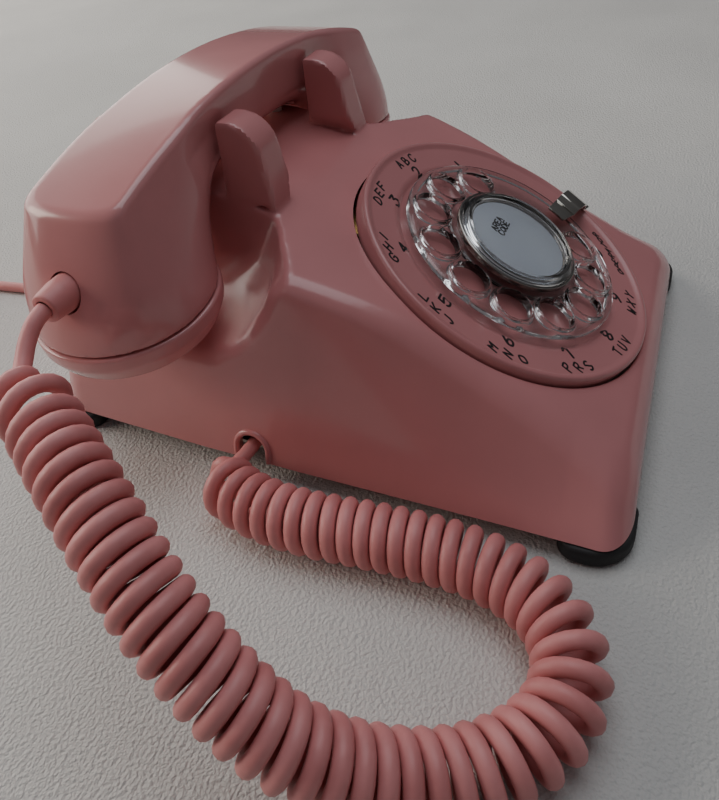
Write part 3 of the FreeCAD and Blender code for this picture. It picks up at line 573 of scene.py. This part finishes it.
# The rings of holes as (radius, count): to speak into, and to listen at.
MOUTH_RINGS = ((0.0, 1), (6.5, 6), (12.5, 12))
EAR_RINGS = ((0.0, 1), (5.5, 6))
for side, label, rings in ((-1, "transmitter_cap", MOUTH_RINGS), (1, "receiver_cap", EAR_RINGS)):
    cap = lathe(label + "_shell", cap_outline, cup_matrix(side), 128)
    drills = []
    for radius, count in rings:
        for k in range(count):
            turn = 2 * math.pi * k / count
            spot = Vector((radius * math.cos(turn), radius * math.sin(turn), -12)) * MM
            place = cup_matrix(side) @ Matrix.Translation(spot)
            drills.append(lathe("drill", [(0, -3), (1.1, -3), (1.1, 4), (0, 4)], place, 20))
    carve(cap, joined("drills", drills))
    piece(cap, rose_handset, "handset", "rose_handset", label)

sleeve = rounded([(2.5, 0), (5.35, 0), (5.35, 10.5), (4.5, 17.0), (2.5, 17.0)],
                 [0, 0, 3.0, 1.0, 0.6], 5)
sleeve_place = Matrix.Translation(Vector((BUSHING_X + 16.5, HANDSET_Y, BUSHING_Z)) * MM)
sleeve_place = sleeve_place @ Matrix.Rotation(math.radians(-90), 4, "Y")
bushing = lathe("cord_bushing_sleeve", sleeve, sleeve_place, 64)
piece(bushing, rose_cord, "handset", "rose_cord", "handset_cord_bushing")


# ---------------------------------------------------------------- number plate and its characters
RIM, STEP_OUT, STEP_IN = 57.0, 44.0, 42.4
PLATE_FACE = [(14.0, -2.2), (STEP_IN - 0.6, -2.2), (STEP_IN + 0.4, -1.9), (STEP_OUT - 0.3, -1.05),
              (STEP_OUT + 1.2, -0.9), (53.0, -0.42), (54.0, -0.2), (54.8, 0.45), (55.7, 0.85),
              (56.5, 0.55), (RIM, -0.4)]
plate_outline = PLATE_FACE + [(RIM, -6.0), (55.6, -6.0), (55.6, -2.0), (43.4, -2.6), (41.8, -3.6),
                              (14.0, -3.6)]
plate = lathe("number_plate_pressed", plate_outline, dial_matrix(), 192, sharp=60.0)
piece(plate, rose_plate, "root", "rose_number_plate", "number_plate")

# Each character's strokes as pairs of digits, across 0 to 4 and up 0 to 6. A tilde asks for a curve.
STROKES = {
    "A": "002640 1232", "B": "0006 ~062635342303 ~033342413000", "C": "~4536160402103041",
    "D": "0006 ~062644422000", "E": "46060040 0333", "F": "460600 0333",
    "G": "~4536160402103041 414323", "H": "0006 4046 0343", "I": "2026", "J": "~363432201001",
    "K": "0006 4602 1340", "L": "060040", "M": "0006234640", "N": "00064046",
    "O": "~26040220424426", "P": "0006 ~063645443303", "R": "0006 ~063645443303 2340",
    "S": "~45361605143241301001", "T": "0646 2620", "U": "~060210304246", "V": "062046",
    "W": "0610243046", "X": "0640 0046", "Y": "062346 2320",
    "1": "2026", "2": "~05163645443200 0040", "3": "064624 ~244341301001", "4": "30360242",
    "5": "460603 ~03344341301001", "6": "~36140210304142331302", "7": "064610",
    "8": "~26050423444526 ~23020120414223", "9": "~10324436160504133344", "0": "~26040220424426",
}
INK_STEP = 0.35
INK_TOP, INK_UNDER = 0.09, -0.06


def stroke_points(code):
    """The points of one stroke, smoothed through its corners when it starts with a tilde."""
    smooth = code.startswith("~")
    digits = code.lstrip("~")
    points = [np.array([int(a), int(b)], float) for a, b in zip(digits[::2], digits[1::2])]
    if not smooth:
        return points
    closed = bool((points[0] == points[-1]).all())
    if closed:
        before, after = points[-2], points[1]
    else:
        before, after = 2 * points[0] - points[1], 2 * points[-1] - points[-2]
    padded = [before, *points, after]
    out = []
    for a, b, c, d in zip(padded, padded[1:], padded[2:], padded[3:]):
        for t in np.linspace(0, 1, 6)[:-1]:
            squared = (2 * a - 5 * b + 4 * c - d) * t * t
            cubed = (3 * b - a - 3 * c + d) * t ** 3
            out.append(0.5 * (2 * b + (c - a) * t + squared + cubed))
    return out + [points[-1]]


def add_stroke(work, corners, half, surface):
    """A flat round-ended stroke of ink on a surface of the dial."""
    points = [corners[0]]
    for a, b in zip(corners, corners[1:]):
        count = max(1, math.ceil(np.linalg.norm(b - a) / INK_STEP))
        points += [a + (b - a) * k / count for k in range(1, count + 1)]
    left, right = [], []
    for k, point in enumerate(points):
        before, after = points[max(k - 1, 0)], points[min(k + 1, len(points) - 1)]
        along = (after - before) / max(np.linalg.norm(after - before), 1e-9)
        if 0 < k < len(points) - 1:
            one, two = point - points[k - 1], points[k + 1] - point
            sizes = np.linalg.norm(one) * np.linalg.norm(two) + 1e-9
            turn = abs(one[0] * two[1] - one[1] * two[0]) / sizes
            spread = half / max(math.cos(math.asin(min(turn, 1.0)) / 2), 0.6)
        else:
            spread = half
        across = np.array([-along[1], along[0]]) * spread
        left.append(point + across)
        right.append(point - across)
    start, end = points[0], points[-1]
    cap_start, cap_end = [], []
    angle = math.atan2(*(points[1] - start)[::-1])
    for t in np.linspace(math.pi / 2, 3 * math.pi / 2, 7)[1:-1]:
        cap_start.append(start + half * np.array([math.cos(angle + t), math.sin(angle + t)]))
    angle = math.atan2(*(end - points[-2])[::-1])
    for t in np.linspace(-math.pi / 2, math.pi / 2, 7)[1:-1]:
        cap_end.append(end + half * np.array([math.cos(angle + t), math.sin(angle + t)]))

    def vert(point, lift):
        out = (surface(point) + lift) * DIAL_OUT
        spot = DIAL_AT + point[0] * DIAL_X + point[1] * DIAL_UP + out
        return work.verts.new(Vector(spot * MM))

    for lift, flip in ((INK_TOP, False), (INK_UNDER, True)):
        rows = [(vert(a, lift), vert(b, lift)) for a, b in zip(left, right)]
        faces = [(b[0], a[0], a[1], b[1]) for a, b in zip(rows, rows[1:])]
        head = [rows[0][0], *[vert(p, lift) for p in cap_start], rows[0][1]]
        tail = [rows[-1][1], *[vert(p, lift) for p in cap_end], rows[-1][0]]
        faces += [tuple(head), tuple(tail)]
        for face in faces:
            work.faces.new(face[::-1] if flip else face)
        rim = [r[0] for r in rows[::-1]] + head[1:-1] + [r[1] for r in rows] + tail[1:-1]
        if flip:
            for k in range(len(rim)):
                n = (k + 1) % len(rim)
                work.faces.new((upper_rim[k], upper_rim[n], rim[n], rim[k]))
        upper_rim = rim


def write(work, character, centre, height, half, surface, slant=0.25, width=0.62):
    """Writes one character upright on the dial, in strokes of a half width."""
    scale = height / 6.0
    for code in STROKES[character].split():
        points = []
        for point in stroke_points(code):
            x = (point[0] - 2.0) * width * 1.5 * scale + slant * (point[1] - 3.0) * scale
            points.append(np.array([centre[0] + x, centre[1] + (point[1] - 3.0) * scale]))
        add_stroke(work, points, half, surface)


def plate_surface(point):
    """The height of the number plate's face under a point of the dial."""
    return float(np.interp(np.hypot(*point), *zip(*PLATE_FACE)))


def polar(radius, angle):
    return (radius * math.cos(math.radians(angle)), radius * math.sin(math.radians(angle)))


GROUPS = ["", "ABC", "DEF", "GHI", "JKL", "MNO", "PRS", "TUV", "WXY", ""]
DIGIT_RADIUS, LETTER_RADIUS, OPERATOR_MIDDLE = 45.1, 51.2, 314.5
marks = bmesh.new()
for index, digit in enumerate("1234567890"):
    angle = DIGIT_ONE + DIGIT_STEP * index
    write(marks, digit, polar(DIGIT_RADIUS, angle), 4.1, 0.4, plate_surface)
    upright = abs(math.sin(math.radians(angle)))
    spacing = 6.4 - 1.6 * upright
    order = -1 if index < 5 else 1
    for k, letter in enumerate(GROUPS[index]):
        spot = polar(LETTER_RADIUS, angle + order * (k - 1) * spacing)
        write(marks, letter, spot, 3.3, 0.32, plate_surface)
for k, letter in enumerate("OPERATOR"):
    spot = polar(LETTER_RADIUS, OPERATOR_MIDDLE + (k - 3.5) * 3.15)
    write(marks, letter, spot, 2.6, 0.27, plate_surface, width=0.5)
marks_mesh = bpy.data.meshes.new("dial_characters")
marks.to_mesh(marks_mesh)
marks.free()
piece(finish_mesh(marks_mesh, "dial_characters"), ink, "root", "black_rubber")


# ---------------------------------------------------------------- finger wheel, centre and finger stop
def wheel_form(x, y, z):
    """The clear wheel in the dial's own frame: a thin web, a thick rim and ten collars."""
    r = np.hypot(x, y)
    form = round_and(r - 41.0, np.abs(z - 1.5) - 0.75, 0.5)
    rim = round_and(np.abs(r - 40.1) - 0.9, np.abs(z - 1.45) - 1.0, 0.6)
    form = soft_or(form, rim, 1.2)
    form = round_or(form, round_and(np.abs(r - 23.8) - 1.5, np.abs(z - 1.6) - 1.2, 0.8), 0.5)
    for k in range(10):
        cx, cy = polar(32.0, DIGIT_ONE + DIGIT_STEP * k)
        reach = np.hypot(x - cx, y - cy)
        collar = round_and(np.abs(reach - 6.95) - 0.55, np.abs(z - 2.0) - 1.6, 0.5)
        form = soft_or(form, collar, 1.0)
        form = round_and(form, 6.42 - reach, 0.3)
    return round_and(form, 5.0 - r, 0.3)


def place_mesh(obj, place):
    obj.data.transform(place)
    obj.data.update()


wheel = from_function("finger_wheel_moulded", wheel_form, (-41, -41, 0.3), (41, 41, 3.7), 0.5,
                      sharp=60.0)
place_mesh(wheel, dial_matrix())
piece(wheel, acrylic, "dial_rotor", "clear_acrylic", "finger_wheel")

cup_outline = rounded(
    [(0, 2.6), (21.6, 2.6), (23.3, 3.2), (23.3, 5.3), (22.4, 5.6), (22.3, 4.0), (0, 4.0)],
    [0, 0.5, 0.8, 0.5, 0.4, 0.2, 0], 5)
cup = lathe("centre_cup_spun", cup_outline, dial_matrix(), 128)
piece(cup, dark_chrome, "dial_rotor", "dark_chrome", "wheel_centre_cup")
CARD_UNDER, CARD_TOP = 4.1, 4.4
card_outline = [(0, CARD_UNDER), (18.6, CARD_UNDER), (18.6, CARD_TOP), (0, CARD_TOP)]
card = lathe("number_card_disc", card_outline, dial_matrix(), 128)
piece(card, paper, "dial_rotor", "paper", "number_card")
retainer_outline = rounded(
    [(0, 5.0), (18.9, 5.0), (18.9, 4.15), (22.1, 4.15), (22.1, 6.0), (20.4, 7.6), (19.4, 7.6),
     (18.6, 6.3), (0, 6.3)],
    [0, 0.2, 0.1, 0.2, 0.6, 0.5, 0.5, 0.6, 0], 4)
retainer = lathe("card_retainer_moulded", retainer_outline, dial_matrix(), 128)
piece(retainer, acrylic, "dial_rotor", "clear_acrylic", "card_retainer")
words_mesh = bpy.data.meshes.new("card_words")
card_work = bmesh.new()
for text, up in (("AREA", 9.1), ("CODE", 6.1)):
    for k, letter in enumerate(text):
        spot = (1.2 + (k - 1.5) * 2.35, up)
        write(card_work, letter, spot, 2.3, 0.27, lambda point: CARD_TOP, slant=0.0, width=0.7)
card_work.to_mesh(words_mesh)
card_work.free()
piece(finish_mesh(words_mesh, "card_words"), ink, "dial_rotor", "black_rubber")

# Points along the stop as (distance from the dial's axis, height along it).
STOP_LINE = [(31.8, 4.3), (40.4, 4.5), (41.8, 7.0), (46.5, 7.3), (50.2, 5.9), (51.6, 2.6),
             (53.6, 1.9), (58.0, 1.9)]
STOP_HALF_WIDTH, STOP_HALF_THICK = 4.6, 0.45


def finger_stop():
    """The folded strip over the wheel, its end tapered, its long edges eased."""
    work = bmesh.new()
    line = rounded(STOP_LINE, [0, 0.9, 0.9, 1.6, 1.4, 1.0, 0.8, 0], 5)
    line = [Vector(p) for p in line]
    rows = []
    for k, point in enumerate(line):
        along = (line[min(k + 1, len(line) - 1)] - line[max(k - 1, 0)]).normalized()
        normal = Vector((-along.y, along.x))
        half = STOP_HALF_WIDTH * (0.8 + 0.2 * min(1.0, max(0.0, (point.x - 31.8) / 8.0)))
        row = []
        for across, lift in ((-half, -1), (-half, 1), (half, 1), (half, -1)):
            spot = point + normal * lift * STOP_HALF_THICK
            row.append(work.verts.new(Vector((spot.x, across, spot.y)) * MM))
        rows.append(row)
    for a, b in zip(rows, rows[1:]):
        for k in range(4):
            n = (k + 1) % 4
            work.faces.new((a[k], a[n], b[n], b[k]))
    work.faces.new(rows[0][::-1])
    work.faces.new(rows[-1])
    bmesh.ops.recalc_face_normals(work, faces=work.faces)
    long_edges = [e for e in work.edges if e.calc_face_angle(0) > math.radians(60)]
    bmesh.ops.bevel(work, geom=long_edges, offset=0.00018, segments=2, affect="EDGES", profile=0.5)
    bmesh.ops.transform(work, matrix=dial_matrix(turn=STOP_ANGLE), verts=work.verts)
    mesh = bpy.data.meshes.new("finger_stop_hook")
    work.to_mesh(mesh)
    work.free()
    return finish_mesh(mesh, "finger_stop_hook", 35.0)


piece(finger_stop(), stop_chrome, "root", "bright_chrome", "finger_stop")


# ---------------------------------------------------------------- feet
def foot_form(sx, sy):
    """The shape of the foot at one corner of the housing."""
    def form(x, y, z):
        u, v = x * sx, y * sy
        block = round_and(u - 85.6, v - 107.6, 13.0)
        block = round_and(block, 60.0 - u, 6.0)
        block = round_and(block, 86.0 - v, 6.0)
        return round_and(block, np.abs(z - 3.25) - 3.25, 1.6)
    return form


for end, sy in (("front", -1), ("rear", 1)):
    for hand, sx in (("left", -1), ("right", 1)):
        name = "foot_%s_%s" % (end, hand)
        low = (min(60 * sx, 86 * sx), min(86 * sy, 108 * sy), 0)
        high = (max(60 * sx, 86 * sx), max(86 * sy, 108 * sy), 6.5)
        foot = from_function(name + "_rubber", foot_form(sx, sy), low, high, 0.8)
        piece(foot, rubber, "root", "black_rubber", name)


# ---------------------------------------------------------------- cords
def spline_points(route, resolution):
    """The points of a smooth spline that has the route as its control points, in metres."""
    curve = bpy.data.curves.new("centreline", "CURVE")
    curve.dimensions = "3D"
    add_spline(curve, route, resolution)
    carrier = link(curve, "centreline")
    bpy.context.view_layer.update()
    mesh = bpy.data.meshes.new_from_object(carrier.evaluated_get(bpy.context.evaluated_depsgraph_get()))
    points = np.array([v.co for v in mesh.vertices], float)
    bpy.data.objects.remove(carrier)
    return points


def add_spline(curve, route, resolution):
    spline = curve.splines.new("NURBS")
    spline.points.add(len(route) - 1)
    for point, spot in zip(spline.points, route):
        point.co = (*[c * MM for c in spot], 1.0)
    spline.order_u = 3
    spline.use_endpoint_u = True
    spline.resolution_u = resolution
    return spline


def evenly(points, count):
    """The same line with points at even spacing."""
    steps = np.linalg.norm(np.diff(points, axis=0), axis=1)
    place = np.concatenate([[0], np.cumsum(steps)])
    even = np.linspace(0, place[-1], count)
    return np.stack([np.interp(even, place, points[:, k]) for k in range(3)], 1), place[-1]


def carried_frames(points):
    """Two directions square to a line at each point, carried along without twisting."""
    along = np.gradient(points, axis=0)
    along /= np.linalg.norm(along, axis=1, keepdims=True)
    one = np.cross(along[0], (0.0, 0.0, 1.0))
    one /= np.linalg.norm(one)
    ones = [one]
    for tangent in along[1:]:
        one = one - tangent * (one @ tangent)
        one /= np.linalg.norm(one)
        ones.append(one)
    ones = np.array(ones)
    return along, ones, np.cross(along, ones)


def tube_mesh(name, points, radius, sides):
    """A round closed tube along a line."""
    _, one, two = carried_frames(points)
    turns = np.linspace(0, 2 * np.pi, sides, endpoint=False)[None, :, None]
    rings = points[:, None] + radius * (np.cos(turns) * one[:, None] + np.sin(turns) * two[:, None])
    verts = rings.reshape(-1, 3)
    count = len(points)
    a = np.arange(count - 1)[:, None] * sides + np.arange(sides)[None]
    b = np.arange(count - 1)[:, None] * sides + (np.arange(sides)[None] + 1) % sides
    quads = np.stack([a, b, b + sides, a + sides], -1).reshape(-1, 4)
    faces = quads.tolist() + [list(range(sides))[::-1], list(range((count - 1) * sides, count * sides))]
    mesh = bpy.data.meshes.new(name)
    mesh.from_pydata(verts.tolist(), [], faces)
    mesh.update()
    return finish_mesh(mesh, name, 50.0)


HELIX_RADIUS = 7.8
PITCH = 5.15
SAMPLES_PER_TURN = 20
LEAD_LENGTH, LEAD_SWELL = 15.0, 7.0
TAIL_LENGTH, TAIL_SWELL = 21.0, 9.0


def curly_cord():
    """The handset's cord: a helix round its route that shrinks to a straight cord at both ends."""
    route = LEAD_ROUTE + CURL_ROUTE + TAIL_ROUTE
    centre, length = evenly(spline_points(route, 24), 3000)
    centre = centre / MM
    length /= MM
    along, one, two = carried_frames(centre)
    place = np.linspace(0, length, len(centre))
    bend = np.linalg.norm(np.gradient(along, place, axis=0), axis=1)
    width = 61
    padded = np.pad(bend, width // 2, mode="edge")
    bend = np.convolve(padded, np.ones(width) / width, "valid")
    from_end = length - place
    opening = np.clip((place - LEAD_LENGTH) / LEAD_SWELL, 0, 1)
    closing = np.clip((from_end - TAIL_LENGTH) / TAIL_SWELL, 0, 1)
    swell = opening * closing
    swell = swell * swell * (3 - 2 * swell)
    pitch = PITCH / (1 - 0.8 * np.minimum(bend * HELIX_RADIUS, 0.45))
    pitch = pitch + 5.0 * np.exp(-(((from_end - 33.0) / 9.0) ** 2))
    pitch = pitch + 2.0 * np.exp(-(((place - 19.0) / 5.0) ** 2))
    angle = np.concatenate([[0], np.cumsum((2 * np.pi / pitch[1:]) * np.diff(place))])
    count = int(angle[-1] / (2 * np.pi) * SAMPLES_PER_TURN)
    turn = np.linspace(0, angle[-1], count)

    def at(values):
        return np.interp(turn, angle, values)

    radius = HELIX_RADIUS * at(swell)[:, None]
    middle = np.stack([at(centre[:, k]) for k in range(3)], 1)
    side_one = np.stack([at(one[:, k]) for k in range(3)], 1)
    side_two = np.stack([at(two[:, k]) for k in range(3)], 1)
    around = np.cos(turn)[:, None] * side_one + np.sin(turn)[:, None] * side_two
    line = middle + radius * around
    line[:, 2] = np.maximum(line[:, 2], CORD / 2 + 0.05)
    line = line * MM
    obj = tube_mesh("handset_cord_helix", line, CORD / 2 * MM, 12)
    obj.data.materials.append(rose_cord)
    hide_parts("handset_cord_curl", "handset_cord_lead", "handset_cord_tail")
    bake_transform(obj)
    [c * MM for c in LEAD_ROUTE[0]]


curly_cord()

COIL_LAYER = 2.55


def coil_points():
    """The put-away turns of the line cord: three layers of three turns, wound in, out and in again."""
    points = []
    gap = 2 * COIL_HALF / 3
    per_turn = 14
    outer, inner = COIL_MEAN + gap, COIL_MEAN - gap
    total = 9 * per_turn
    half_change = 6
    stations = [(0, outer, COIL_LAYER)]
    for layer, radius in ((1, inner), (2, outer)):
        change = 3 * per_turn * layer
        height = COIL_LAYER + gap * layer
        stations += [(change - half_change, radius, height - gap), (change + half_change, radius, height)]
    stations.append((total, inner, COIL_LAYER + 2 * gap))
    index, radii, heights = zip(*stations)
    for k in range(1, total + 1):
        turn = 2 * math.pi * k / per_turn + math.atan2(-2.0, 32.4)
        swell = 1 / math.cos(math.pi / per_turn) ** 0.5
        radius = float(np.interp(k, index, radii)) * swell
        x = COIL_CENTRE[0] + radius * math.cos(turn)
        y = COIL_CENTRE[1] + radius * math.sin(turn)
        points.append((x, y, float(np.interp(k, index, heights))))
    return points


line_curve = bpy.data.curves.new("line_cord_run", "CURVE")
line_curve.dimensions = "3D"
line_curve.bevel_depth = CORD / 2 * MM
line_curve.bevel_resolution = 4
line_curve.use_fill_caps = True
line_route = LINE_ROUTE + coil_points()
line_points = spline_points(line_route, 12)
add_spline(line_curve, line_route, 12)
line_cord = link(line_curve, "line_cord_run")
piece(line_cord, rose_cord, "root", "rose_cord", "line_cord", "line_cord_coil")

coil_x, coil_y = COIL_CENTRE
outer, inner = COIL_MEAN + COIL_HALF + 0.3, COIL_MEAN - COIL_HALF - 0.3
section = rounded([(-outer, 0.1), (-inner, 0.1), (-inner, 15.4), (-outer, 15.4)], 2.4, 6)


def tie():
    """A strap round the coil's section, with rounded corners and a raised edge."""
    middle_u, middle_z = -(outer + inner) / 2, 7.75
    work = bmesh.new()
    loops = []
    for across, grow in ((-2.7, 0.0), (-3.0, 0.4), (-2.7, 0.8), (2.7, 0.8), (3.0, 0.4), (2.7, 0.0)):
        loop = []
        for u, z in section:
            du, dz = u - middle_u, z - middle_z
            spread = 1 + grow / max(math.hypot(du, dz), 1e-6)
            height = max(middle_z + dz * spread, 0.02)
            spot = Vector((coil_x + middle_u + du * spread, coil_y + across, height))
            loop.append(work.verts.new(spot * MM))
        loops.append(loop)
    for a, b in zip(loops, loops[1:] + loops[:1]):
        for k in range(len(a)):
            n = (k + 1) % len(a)
            work.faces.new((a[k], a[n], b[n], b[k]))
    mesh = bpy.data.meshes.new("line_cord_strap")
    work.to_mesh(mesh)
    work.free()
    return finish_mesh(mesh, "line_cord_strap")


strap_piece = piece(tie(), tie_black, "root", "black_rubber", "line_cord_tie")
plug_outline = rounded([(0, 0.05), (14.5, 0.05), (17.0, 2.5), (17.0, 15.5), (14.5, 18.0), (0, 18.0)],
                       [0, 1.5, 2, 3, 3, 0], 6)
plug_place = Matrix.Translation(Vector((coil_x, coil_y, 0)) * MM)
plug = piece(lathe("line_plug_moulded", plug_outline, plug_place, 96),
             rose_cord, "root", "rose_cord", "line_plug")
[c * MM for c in LINE_ROUTE[0]]


def notch_lip():
    """The rounded bead moulded round the cord notch."""
    reach = NOTCH_HALF + 0.7
    spots = [(NOTCH_Y + reach, z) for z in np.linspace(SKIRT_BOTTOM + 0.3, NOTCH_SPRING, 5)[:-1]]
    for t in np.linspace(0, math.pi, 25):
        spots.append((NOTCH_Y + reach * math.cos(t), NOTCH_SPRING + reach * math.sin(t)))
    spots += [(NOTCH_Y - reach, z) for z in np.linspace(NOTCH_SPRING, SKIRT_BOTTOM + 0.3, 5)[1:]]
    line = []
    for y, z in spots:
        out = float(side_distance(np.array(0.0), np.array(y), np.array(z)))
        lean = float(side_distance(np.array(1.0), np.array(y), np.array(z))) - out
        line.append((out / lean + 0.2, y, z))
    return tube_mesh("cord_notch_lip", np.array(line) * MM, 1.15 * MM, 12)


piece(notch_lip(), rose_housing, "root", "rose_housing")


# ---------------------------------------------------------------- stage, light and camera
floor_mesh = bpy.data.meshes.new("floor")
floor_mesh.from_pydata([(-4, -4, 0), (4, -4, 0), (4, 4, 0), (-4, 4, 0)], [], [(0, 1, 2, 3)])
floor = link(floor_mesh, "floor")
pale_cloth = material("pale_cloth", (0.60, 0.585, 0.56), 0.85, grain_scale=900.0, grain_detail=1.0,
                      bump=0.6, depth=0.0012, spread=0.04, blotch_scale=9.0)
floor.data.materials.append(pale_cloth)


def area_light(name, spot, aim, size, power, color):
    data = bpy.data.lights.new(name, "AREA")
    data.shape = "RECTANGLE"
    data.size, data.size_y = size
    data.energy = power
    data.color = color
    lamp = bpy.data.objects.new(name, data)
    bpy.context.scene.collection.objects.link(lamp)
    lamp.location = spot
    lamp.rotation_euler = (Vector(aim) - Vector(spot)).to_track_quat("-Z", "Y").to_euler()


area_light("back", (0.15, 1.25, 0.55), (-0.03, 0.0, 0.05), (2.2, 0.9), 17.0, (1.0, 0.95, 0.88))
area_light("window", (-0.6, 1.3, 0.6), (-0.1, 0.1, 0.05), (0.5, 0.5), 3.5, (1.0, 0.86, 0.70))
area_light("sky", (0.35, 0.05, 1.6), (0, 0, 0), (1.3, 1.3), 10.5, (0.90, 0.95, 1.0))
world = bpy.data.worlds.new("room")
world.use_nodes = True
world_nodes, world_links = world.node_tree.nodes, world.node_tree.links
room = world_nodes["Background"]
room.inputs["Color"].default_value = (0.60, 0.60, 0.64, 1)
direction = world_nodes.new("ShaderNodeTexCoord")
split = world_nodes.new("ShaderNodeSeparateXYZ")
dusk = world_nodes.new("ShaderNodeMapRange")
dusk.inputs["From Min"].default_value, dusk.inputs["From Max"].default_value = -0.1, 0.8
dusk.inputs["To Min"].default_value, dusk.inputs["To Max"].default_value = 0.05, 0.22
world_links.new(direction.outputs["Generated"], split.inputs["Vector"])
world_links.new(split.outputs["Z"], dusk.inputs["Value"])
world_links.new(dusk.outputs["Result"], room.inputs["Strength"])
bpy.context.scene.world = world

CAMERA_AT = Vector((-223.08, -99.30, 190.61)) * MM
YAW, PITCH_DOWN, ROLL = math.radians(-63.39), math.radians(36.36), math.radians(-6.48)
flat = math.cos(PITCH_DOWN)
back_axis = Vector((math.sin(YAW) * flat, -math.cos(YAW) * flat, math.sin(PITCH_DOWN)))
level = Vector((0, 0, 1)).cross(back_axis).normalized()
above = back_axis.cross(level)
right_axis = math.cos(ROLL) * level + math.sin(ROLL) * above
up_axis = -math.sin(ROLL) * level + math.cos(ROLL) * above
camera_data = bpy.data.cameras.new("camera")
camera = bpy.data.objects.new("camera", camera_data)
bpy.context.scene.collection.objects.link(camera)
camera_axes = Matrix((right_axis, up_axis, back_axis)).transposed().to_4x4()
camera.matrix_world = Matrix.Translation(CAMERA_AT) @ camera_axes
camera_data.sensor_width = 36.0
camera_data.lens = 32.71
camera_data.shift_x, camera_data.shift_y = 0.0017, -0.0995
camera_data.clip_start, camera_data.clip_end = 0.01, 20.0
bpy.context.scene.camera = camera
bpy.context.view_layer.update()
